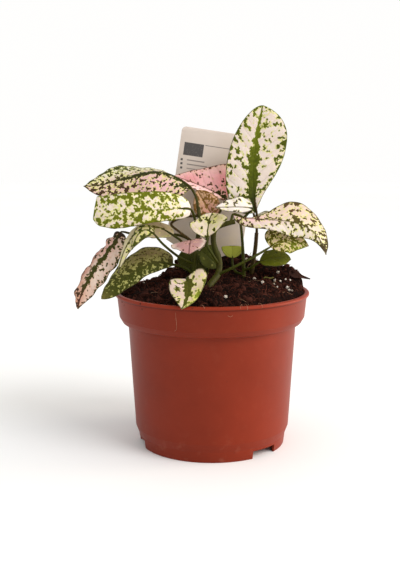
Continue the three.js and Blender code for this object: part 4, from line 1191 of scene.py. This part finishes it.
def fibre_tree():
    """Short bent fibres lying on the faces that look up, or standing on them where Lift is large."""
    g = Grower("Soil fibres", {"Density": 1.0, "Length": 0.004, "Thickness": 0.0001, "Lift": 0.5, "Seed": 5})
    points, _ = g.scatter(upward=True)
    bent = g.out("GeometryNodeCurveQuadraticBezier", {
        "Resolution": 5, "Start": (-0.5, 0.0, -0.04), "Middle": (0.0, 0.35, 0.16), "End": (0.5, 0.0, -0.04)})
    thin = g.math("DIVIDE", g.start["Thickness"], g.start["Length"])
    rod = g.sweep(bent, g.ring(3), {"Scale": thin, "Fill Caps": True})
    size = g.times(g.start["Length"], g.random(0.35, 1.4, 21))
    lift = g.start["Lift"]
    sway = g.between(g.times(lift, -1.0), lift, g.random(0.0, 1.0, 22))
    turn = g.combine(g.times(g.random(0.0, 1.0, 24), TURN), sway, g.random(0.0, TURN, 25))
    return g.finish(g.toned(g.lay(points, rod, rotation=turn, scale=g.combine(size, size, size)), 26))


def grain_tree():
    """White grains, one at each point."""
    g = Grower("Perlite", {"Smallest": 0.0006, "Largest": 0.0013})
    ball = g.out("GeometryNodeMeshIcoSphere", {"Radius": 1.0, "Subdivisions": 3})
    rock = g.ragged(ball, 1.2, 2.0, 1.7)
    size = g.between(g.start["Smallest"], g.start["Largest"], g.random(0.0, 1.0, 31))
    flat = g.combine(size, size, g.times(size, 0.8))
    return g.finish(g.lay(g.start["Geometry"], rock, rotation=g.random_turn(32), scale=flat))


def stem_tree():
    """A tube along the curve, as thick as the curve says and a little uneven."""
    g = Grower("Stem", {"Sides": 16, "Steps": 64, "Unevenness": 0.0002})
    kind = g.out("GeometryNodeCurveSplineType", {"Curve": g.start["Geometry"]}, spline_type="CATMULL_ROM")
    fine = g.out("GeometryNodeSubdivideCurve", {"Curve": kind, "Cuts": 1})
    even = g.out("GeometryNodeResampleCurve", {"Curve": fine, "Count": g.start["Steps"]})
    thick = g.out("GeometryNodeInputRadius")
    tube = g.sweep(even, g.ring(g.start["Sides"]), {"Scale": thick, "Fill Caps": True})
    return g.finish(g.ragged(tube, 260.0, 2.0, g.start["Unevenness"]))


def hair_tree():
    """Fine hairs that stand on the faces."""
    g = Grower("Hairs", {"Density": 1.0, "Length": 0.0006, "Seed": 7})
    points, upright = g.scatter()
    hair = g.out("GeometryNodeMeshCone", {"Vertices": 3, "Radius Top": 0.0, "Radius Bottom": 0.045, "Depth": 1.0})
    size = g.times(g.start["Length"], g.random(0.6, 1.3, 41))
    return g.finish(g.lay(points, hair, rotation=upright, scale=g.combine(size, size, size)))


def pot_tree():
    """Turns the profile into the pot, then cuts the drain notches and the drain holes."""
    g = Grower("Nursery pot", {
        "Segments": 144, "Edge Round": 0.0004, "Notches": 3, "Notch Width": 0.019, "Notch Height": 0.005,
        "Notch Angle": 0.0, "Holes": 6, "Hole Radius": 0.004, "Hole Circle": 0.031})
    rounded = g.out("GeometryNodeFilletCurve", {"Curve": g.start["Geometry"], "Radius": g.start["Edge Round"],
                                                "Limit Radius": True, "Count": 3}, mode="POLY")
    turned = g.sweep(g.ring(g.start["Segments"], LATHE_RADIUS * MM), rounded)
    closed = g.out("GeometryNodeMergeByDistance", {"Geometry": turned, "Distance": 1e-6})

    def ring_of(shape, at, count, first):
        """Copies of a shape, moved out and turned about the pot's axis."""
        moved = g.out("GeometryNodeTransform", {"Geometry": shape, "Translation": at})
        points = g.out("GeometryNodeMeshLine", {"Count": count, "Offset": (0.0, 0.0, 0.0)})
        step = g.math("DIVIDE", 2 * math.pi, count)
        angle = g.plus(first, g.times(step, g.out("GeometryNodeInputIndex")))
        return g.lay(points, moved, rotation=g.combine(0.0, 0.0, angle))

    size = g.combine(NOTCH_DEPTH * MM, g.start["Notch Width"], g.times(g.start["Notch Height"], 2.0))
    box = g.out("GeometryNodeMeshCube", {"Size": size})
    pin = g.out("GeometryNodeMeshCylinder", {
        "Vertices": 32, "Radius": g.start["Hole Radius"], "Depth": 4 * WALL * MM})
    holes_at = g.combine(g.start["Hole Circle"], 0.0, FLOOR_UNDERSIDE * MM)
    cutters = g.add("GeometryNodeJoinGeometry")
    for ring in (ring_of(pin, holes_at, g.start["Holes"], 0.0),
                 ring_of(box, (BASE_RADIUS * MM, 0.0, 0.0), g.start["Notches"], g.start["Notch Angle"])):
        g.set(cutters, 0, ring)
    cut = g.add("GeometryNodeMeshBoolean", {"Mesh 1": closed, "Mesh 2": g.realize(cutters.outputs[0])},
                operation="DIFFERENCE", solver="EXACT")
    return g.finish(cut.outputs["Mesh"])


# Settings

class PotSettings(bpy.types.PropertyGroup):
    colour: bpy.props.FloatVectorProperty(
        name="Plastic", description="Colour of the pot's plastic, as on a screen",
        default=(0.478, 0.148, 0.056), size=3, min=0, max=1, subtype="COLOR_GAMMA")
    segments: bpy.props.IntProperty(
        name="Segments", description="Facets round the pot", default=144, min=24, max=256, subtype="UNSIGNED")
    edge_round: bpy.props.FloatProperty(
        name="Edge round", description="Radius of the moulding's edges",
        default=0.0004, min=0, max=0.002, subtype="DISTANCE", unit="LENGTH")
    notch_width: bpy.props.FloatProperty(
        name="Notch width", description="Width of each drain notch in the foot",
        default=0.019, min=0.005, max=0.03, subtype="DISTANCE", unit="LENGTH")
    notch_height: bpy.props.FloatProperty(
        name="Notch height", description="Height of each drain notch in the foot",
        default=0.005, min=0.001, max=0.006, subtype="DISTANCE", unit="LENGTH")


class SoilSettings(bpy.types.PropertyGroup):
    crumbs: bpy.props.FloatProperty(
        name="Crumbs", description="Small crumbs on each square metre", default=420000.0, min=0, subtype="UNSIGNED")
    clods: bpy.props.FloatProperty(
        name="Clods", description="Larger clods on each square metre", default=42000.0, min=0, subtype="UNSIGNED")
    fibres: bpy.props.FloatProperty(
        name="Fibres", description="Fibres on each square metre", default=110000.0, min=0, subtype="UNSIGNED")
    fibre_length: bpy.props.FloatProperty(
        name="Fibre length", description="Usual length of a fibre",
        default=0.0042, min=0.001, max=0.02, subtype="DISTANCE", unit="LENGTH")
    spikes: bpy.props.FloatProperty(
        name="Spikes", description="Upright fibres on each square metre", default=26000.0, min=0, subtype="UNSIGNED")
    seed: bpy.props.IntProperty(
        name="Seed", description="Number that the strewn pieces start from", default=4, min=0, subtype="UNSIGNED")


class LabelSettings(bpy.types.PropertyGroup):
    edge_round: bpy.props.FloatProperty(
        name="Edge round", description="Radius of the label's edges",
        default=0.00015, min=0, max=0.0003, subtype="DISTANCE", unit="LENGTH")


class StemSettings(bpy.types.PropertyGroup):
    sides: bpy.props.IntProperty(
        name="Sides", description="Facets round a stem", default=16, min=6, max=48, subtype="UNSIGNED")
    hair_length: bpy.props.FloatProperty(
        name="Hair length", description="Usual length of a hair",
        default=0.0007, min=0.0001, max=0.003, subtype="DISTANCE", unit="LENGTH")
    hair_density: bpy.props.FloatProperty(
        name="Hair density", description="Hairs on each square metre", default=300000.0, min=0, subtype="UNSIGNED")


class LeafSettings(bpy.types.PropertyGroup):
    thickness: bpy.props.FloatProperty(
        name="Thickness", description="Thickness of a blade",
        default=0.0004, min=0.0002, max=0.001, subtype="DISTANCE", unit="LENGTH")
    cell_size: bpy.props.FloatProperty(
        name="Cell size", description="Size of the small fields that flecks fill",
        default=0.0008, min=0.0003, max=0.003, subtype="DISTANCE", unit="LENGTH")
    patch_scale: bpy.props.FloatProperty(
        name="Fleck scale", description="Higher makes smaller flecks",
        default=0.3, min=0.05, max=2, subtype="UNSIGNED")
    vein_spacing: bpy.props.FloatProperty(
        name="Vein spacing", description="Distance between two side veins",
        default=0.0052, min=0.001, max=0.02, subtype="DISTANCE", unit="LENGTH")


class StageSettings(bpy.types.PropertyGroup):
    key_strength: bpy.props.FloatProperty(
        name="Key light", description="Strength of the light at the front right",
        default=1.7, min=0, subtype="UNSIGNED")
    key_spread: bpy.props.FloatProperty(
        name="Key softness", description="Angle that the key light spans",
        default=0.6, min=0, max=3, subtype="ANGLE", unit="ROTATION")
    side_power: bpy.props.FloatProperty(
        name="Side light", description="Power of the soft light at the right", default=8.4, min=0, unit="POWER")
    sky: bpy.props.FloatProperty(
        name="Room light", description="Strength of the white surroundings", default=0.76, min=0, subtype="UNSIGNED")


# Operators

class PLANT_OT_pot(bpy.types.Operator):
    """Turn the nursery pot and cut its drain notches and holes"""

    bl_idname = "plant.pot"
    bl_label = "Nursery pot"

    def execute(self, context):
        settings = context.scene.plant_pot
        inner_base = BASE_RADIUS - WALL
        profile = [
            (0, 0), (CENTRE_FOOT_RADIUS, 0), (CENTRE_FOOT_RADIUS + 1, FLOOR_UNDERSIDE),
            (inner_base, FLOOR_UNDERSIDE), (inner_base, 0), (BASE_RADIUS, 0),
            FOOT_LINE, BODY_FOOT, STEP, SHOULDER, COLLAR_FOOT,
            (RIM_RADIUS, POT_HEIGHT - LIP_HEIGHT - LIP_ROUND), (LIP_RADIUS, POT_HEIGHT - LIP_HEIGHT),
            (LIP_RADIUS, POT_HEIGHT - LIP_ROUND), (LIP_RADIUS - LIP_ROUND, POT_HEIGHT),
            (RIM_RADIUS - WALL, POT_HEIGHT),
            (COLLAR_FOOT[0] - WALL, COLLAR_FOOT[1] + WALL), (STEP[0] - WALL, STEP[1] + WALL),
            (BODY_FOOT[0] - WALL, BODY_FOOT[1]), (inner_base, FLOOR_UNDERSIDE + WALL),
            (CENTRE_FOOT_RADIUS, FLOOR_UNDERSIDE + WALL), (CENTRE_FOOT_RADIUS - WALL, WALL), (0, WALL),
        ]
        turned = [((radius - LATHE_RADIUS) * MM, -height * MM, 0) for radius, height in profile]
        pot = grown("pot_fine", open_curve("pot_profile", turned), pot_tree(), {
            "Segments": settings.segments, "Edge Round": settings.edge_round, "Notch Width": settings.notch_width,
            "Notch Height": settings.notch_height, "Notch Angle": math.radians(NOTCH_ANGLE - 90),
            "Material": pot_plastic(settings)})
        face_out(pot)
        smooth(pot, 32)
        place(pot, ["pot"])
        return {"FINISHED"}


class PLANT_OT_soil(bpy.types.Operator):
    """Fill the pot with peat and strew crumbs, fibres and white grains on it"""

    bl_idname = "plant.soil"
    bl_label = "Soil"

    def execute(self, context):
        settings = context.scene.plant_soil
        turns = [2 * math.pi * k / SOIL_AROUND for k in range(SOIL_AROUND)]
        points = [(0, 0, soil_rough(0, 0))]
        for i in range(1, SOIL_RINGS + 1):
            radius = SOIL_TOP_RADIUS * i / SOIL_RINGS
            for a in turns:
                x, y = radius * math.cos(a), radius * math.sin(a)
                points.append((x, y, soil_rough(x, y)))
        points += [(radius * math.cos(a), radius * math.sin(a), z) for radius, z in SOIL_WALL for a in turns]
        faces = [(0, 1 + k, 1 + (k + 1) % SOIL_AROUND) for k in range(SOIL_AROUND)]
        last = 1 + (SOIL_RINGS + len(SOIL_WALL) - 1) * SOIL_AROUND
        for first in range(1, last, SOIL_AROUND):
            for k in range(SOIL_AROUND):
                a, b = first + k, first + (k + 1) % SOIL_AROUND
                faces.append((a, a + SOIL_AROUND, b + SOIL_AROUND, b))
        faces.append(tuple(reversed(range(last, last + SOIL_AROUND))))
        ground = mesh_object("soil_ground", points, faces, (peat("peat_ground", (13, 6, 4), (38, 18, 13)),))
        place(ground, ["soil"])

        crumbs, fibres = crumb_tree(), fibre_tree()
        crumb_skin = peat("peat_crumbs", (15, 7, 5), (72, 38, 29))
        fibre_skin = peat("peat_fibres", (50, 22, 15), (116, 62, 46), 0.8)
        rootlet_skin = peat("rootlets", (96, 66, 48), (170, 136, 106), 0.8)
        spike_skin = peat("peat_spikes", (40, 19, 14), (104, 58, 44), 0.8)
        strewn = (
            ("soil_crumbs", crumbs, crumb_skin, settings.crumbs,
             {"Smallest": 0.00025, "Largest": 0.0011, "Facets": 1}),
            ("soil_clods", crumbs, crumb_skin, settings.clods,
             {"Smallest": 0.0009, "Largest": 0.0026, "Facets": 2}),
            ("soil_fibres", fibres, fibre_skin, settings.fibres,
             {"Length": settings.fibre_length, "Thickness": 0.00011, "Lift": 0.55}),
            ("soil_rootlets", fibres, rootlet_skin, ROOTLETS,
             {"Length": 0.007, "Thickness": 0.00011, "Lift": 0.4}),
            ("soil_spikes", fibres, spike_skin, settings.spikes,
             {"Length": 0.0055, "Thickness": 0.00016, "Lift": 1.3}),
        )
        for number, (name, tree, skin, density, sizes) in enumerate(strewn):
            values = {"Density": density, "Seed": settings.seed + number, "Material": skin, **sizes}
            made = grown(name, link(name + "_source", ground.data.copy()), tree, values)
            made.data.shade_flat()
            place(made)

        x, y = DRY_LEAF_AT
        dry_leaf = peat("dry_leaf", (84, 76, 30), (150, 144, 84), 0.8)
        flat_scrap("leaf_scrap", (x, y, soil_rough(x, y) + 1.1), 6.5, 2.6, (0, 0, 0.25), 0.6, dry_leaf)
        bark = peat("bark", (30, 15, 11), (82, 50, 40), 0.9)
        flat_scrap("bark_bit", BARK_AT, 14, 9, (0.35, 0.3, -0.16), 0.35, bark, lean=0.5)
        tubes = []
        for path in THREADS:
            course = smooth_path([on_pot(*spot) for spot in path], 12)
            tubes.append(round_tube(course, [THREAD_RADIUS] * len(course), 5))
        pale = peat("pale_threads", (150, 96, 74), (206, 168, 140), 0.7)
        place(mesh_object("rim_threads", *joined(tubes), (pale,)))
        spots = mesh_object("grain_points", [(x, y, soil_rough(x, y) + 0.5) for x, y in PERLITE], [])
        place(grown("soil_grains", spots, grain_tree(), {"Material": perlite()}))
        return {"FINISHED"}


class PLANT_OT_label(bpy.types.Operator):
    """Make the plastic plant label with its plain printed marks"""

    bl_idname = "plant.label"
    bl_label = "Label"

    def execute(self, context):
        settings = context.scene.plant_label
        half, head, tip = LABEL_WIDTH / 2, -LABEL_HEAD, -LABEL_HEAD - LABEL_STAKE
        (inward, down), (point, rise) = LABEL_SHOULDER, LABEL_POINT
        corner = [(half - LABEL_CORNER * (1 - math.cos(a)), -LABEL_CORNER * (1 - math.sin(a)))
                  for a in (math.pi / 2 * k / 8 for k in range(9))]
        outline = [(-half, head), (-half + inward, head - down), (-point, tip + rise), (0, tip),
                   (point, tip + rise), (half - inward, head - down), (half, head),
                   *corner, *((-x, y) for x, y in reversed(corner))]
        shape = bmesh.new()
        face = shape.faces.new([shape.verts.new((x + half, 0, y)) for x, y in outline])
        made = bmesh.ops.extrude_face_region(shape, geom=[face])
        moved = [g for g in made["geom"] if isinstance(g, bmesh.types.BMVert)]
        bmesh.ops.translate(shape, verts=moved, vec=(0, LABEL_THICKNESS, 0))
        bmesh.ops.translate(shape, verts=shape.verts, vec=(0, -LABEL_THICKNESS / 2, 0))
        bmesh.ops.recalc_face_normals(shape, faces=shape.faces)
        rim = [e for e in shape.edges if len(e.link_faces) == 2 and e.calc_face_angle() > 1.2]
        bmesh.ops.bevel(shape, geom=rim, offset=settings.edge_round / MM, segments=2,
                        affect="EDGES", profile=0.5)
        bmesh.ops.triangulate(shape, faces=[f for f in shape.faces if len(f.verts) > 4])
        mesh = bpy.data.meshes.new("label_fine")
        shape.to_mesh(mesh)
        shape.free()
        flat = np.empty(len(mesh.vertices) * 3)
        mesh.vertices.foreach_get("co", flat)
        flat = flat.reshape(-1, 3)
        marks = np.c_[flat[:, 0], -flat[:, 2], flat[:, 1]].astype(np.float32)
        # the back bears no print
        marks[flat[:, 1] >= 0, 1] += NO_PRINT
        mesh.attributes.new("print", "FLOAT_VECTOR", "POINT").data.foreach_set("vector", marks.ravel())
        turn = Matrix.Rotation(math.radians(LABEL_ROLL), 4, "Y")
        mesh.transform(Matrix.Scale(MM, 4) @ Matrix.Translation(LABEL_TOP_LEFT) @ turn)
        mesh.materials.append(label_card())
        label = link("label_fine", mesh)
        smooth(label, 30)
        place(label, ["label"])
        return {"FINISHED"}


class PLANT_OT_stems(bpy.types.Operator):
    """Grow the stems and the fine hairs on stems and petioles"""

    bl_idname = "plant.stems"
    bl_label = "Stems"

    def execute(self, context):
        settings = context.scene.plant_stems
        skin, tree = stem_skin(), stem_tree()
        tubes = []
        for name, (path, (foot, top), (brown_foot, brown_top)) in STEMS.items():
            course = smooth_path(path, 16)
            share = np.linspace(0, 1, len(course))
            knot = 1 + 0.1 * np.exp(-((share - 0.55) / 0.05) ** 2) + 0.12 * np.exp(-(share / 0.25) ** 2)
            curve = open_curve(name, course * MM, (foot + (top - foot) * share) * MM * knot)
            stem = grown(name + "_fine", curve, tree, {"Sides": settings.sides, "Material": skin})
            z = np.array([v.co.z for v in stem.data.vertices]) / MM
            rise = np.clip((z - path[0][2]) / (path[-1][2] - path[0][2]), 0, 1)
            tone = (brown_foot + (brown_top - brown_foot) * rise).astype(np.float32)
            stem.data.attributes.new("brown", "FLOAT", "POINT").data.foreach_set("value", tone)
            stem.data.shade_smooth()
            place(stem, [name])
            tubes.append(round_tube(course[4:], np.linspace(foot, top, len(course) - 4), 8))
        tubes += [petiole_tube(leaf, 8) for leaf in LEAVES.values()]
        hairs = grown("stem_hairs", mesh_object("hair_ground", *joined(tubes)), hair_tree(), {
            "Density": settings.hair_density, "Length": settings.hair_length, "Material": hair_fuzz()})
        place(hairs)
        return {"FINISHED"}


class PLANT_OT_leaves(bpy.types.Operator):
    """Build every leaf with its petiole"""

    bl_idname = "plant.leaves"
    bl_label = "Leaves"

    def execute(self, context):
        settings = context.scene.plant_leaves
        skins = {
            "cream_leaf": leaf_skin("cream_leaf_skin", (208, 208, 108), (208, 176, 156), settings),
            "pink_leaf": leaf_skin("pink_leaf_skin", (214, 172, 140), (196, 128, 124), settings),
            "green_leaf": leaf_skin("green_leaf_skin", (134, 130, 64), (92, 92, 34), settings),
        }
        petiole_skin = stem_skin()
        for number, name in enumerate(LEAVES):
            make_leaf(name, number + 1, skins, petiole_skin, settings.thickness)
        return {"FINISHED"}


class PLANT_OT_stage(bpy.types.Operator):
    """Set the pale floor, the soft studio lights and the camera"""

    bl_idname = "plant.stage"
    bl_label = "Stage"

    def execute(self, context):
        settings = context.scene.plant_stage
        scene = context.scene
        corners = [(-FLOOR_REACH, -FLOOR_FRONT, 0), (FLOOR_REACH, -FLOOR_FRONT, 0),
                   (FLOOR_REACH, FLOOR_BACK, 0), (-FLOOR_REACH, FLOOR_BACK, 0)]
        floor = mesh_object("studio_floor", corners, [(0, 1, 2, 3)], (plain_floor(),))
        world = bpy.data.worlds.new("white_room")
        world.use_nodes = True
        room = NodeTree(world.node_tree)
        back = room.nodes["Background"]
        room.set(back, "Color", (1.0, 0.995, 0.985, 1.0))
        seen = room.add("ShaderNodeLightPath").outputs["Is Camera Ray"]
        room.set(back, "Strength", room.out("ShaderNodeMapRange", {"Value": seen, "To Min": settings.sky}))
        scene.world = world
        key = bpy.data.lights.new("key_light", "SUN")
        key.energy = settings.key_strength
        key.angle = settings.key_spread
        side = bpy.data.lights.new("side_light", "AREA")
        side.shape = "DISK"
        side.size = SIDE_LIGHT_SIZE
        side.energy = settings.side_power
        side.color = (1.0, 0.9, 0.76)
        for light, spot in ((key, KEY_LIGHT_AT), (side, SIDE_LIGHT_AT)):
            lamp = link(light.name, light)
            lamp.location = spot
            lamp.rotation_euler = (Vector(LIT_SPOT) - Vector(spot)).to_track_quat("-Z", "Y").to_euler()
        camera = bpy.data.cameras.new("photo_view")
        camera.lens = CAMERA_LENS
        camera.sensor_width = CAMERA_SENSOR
        camera.shift_x = CAMERA_SHIFT
        camera.clip_start = 0.01
        camera.clip_end = 20
        eye = link("photo_view", camera)
        eye.location = CAMERA_AT
        eye.rotation_euler = (math.radians(90 - CAMERA_PITCH), 0, 0)
        scene.camera = eye
        scene.view_settings.view_transform = "Standard"
        return {"FINISHED"}


class PLANT_PT_panel(bpy.types.Panel):
    """Lists the steps and their settings"""

    bl_idname = "PLANT_PT_panel"
    bl_label = "Polka dot plant"
    bl_space_type = "VIEW_3D"
    bl_region_type = "UI"
    bl_category = "Plant"

    def draw(self, context):
        for operator, group in STEPS:
            box = self.layout.box()
            box.operator(operator.bl_idname)
            settings = getattr(context.scene, group)
            for key in settings.bl_rna.properties.keys():
                if key not in {"rna_type", "name"}:
                    box.prop(settings, key)


GROUPS = {
    "plant_pot": PotSettings,
    "plant_soil": SoilSettings,
    "plant_label": LabelSettings,
    "plant_stems": StemSettings,
    "plant_leaves": LeafSettings,
    "plant_stage": StageSettings,
}
STEPS = (
    (PLANT_OT_stage, "plant_stage"),
    (PLANT_OT_pot, "plant_pot"),
    (PLANT_OT_soil, "plant_soil"),
    (PLANT_OT_label, "plant_label"),
    (PLANT_OT_stems, "plant_stems"),
    (PLANT_OT_leaves, "plant_leaves"),
)
CLASSES = (*GROUPS.values(), *(operator for operator, _ in STEPS), PLANT_PT_panel)


def register():
    for made in CLASSES:
        bpy.utils.register_class(made)
    for key, group in GROUPS.items():
        setattr(bpy.types.Scene, key, bpy.props.PointerProperty(type=group))


def unregister():
    for key in GROUPS:
        delattr(bpy.types.Scene, key)
    for made in reversed(CLASSES):
        bpy.utils.unregister_class(made)


def main():
    register()
    for operator, _ in STEPS:
        group, name = operator.bl_idname.split(".")
        getattr(getattr(bpy.ops, group), name)()


if __name__ == "__main__":
    main()
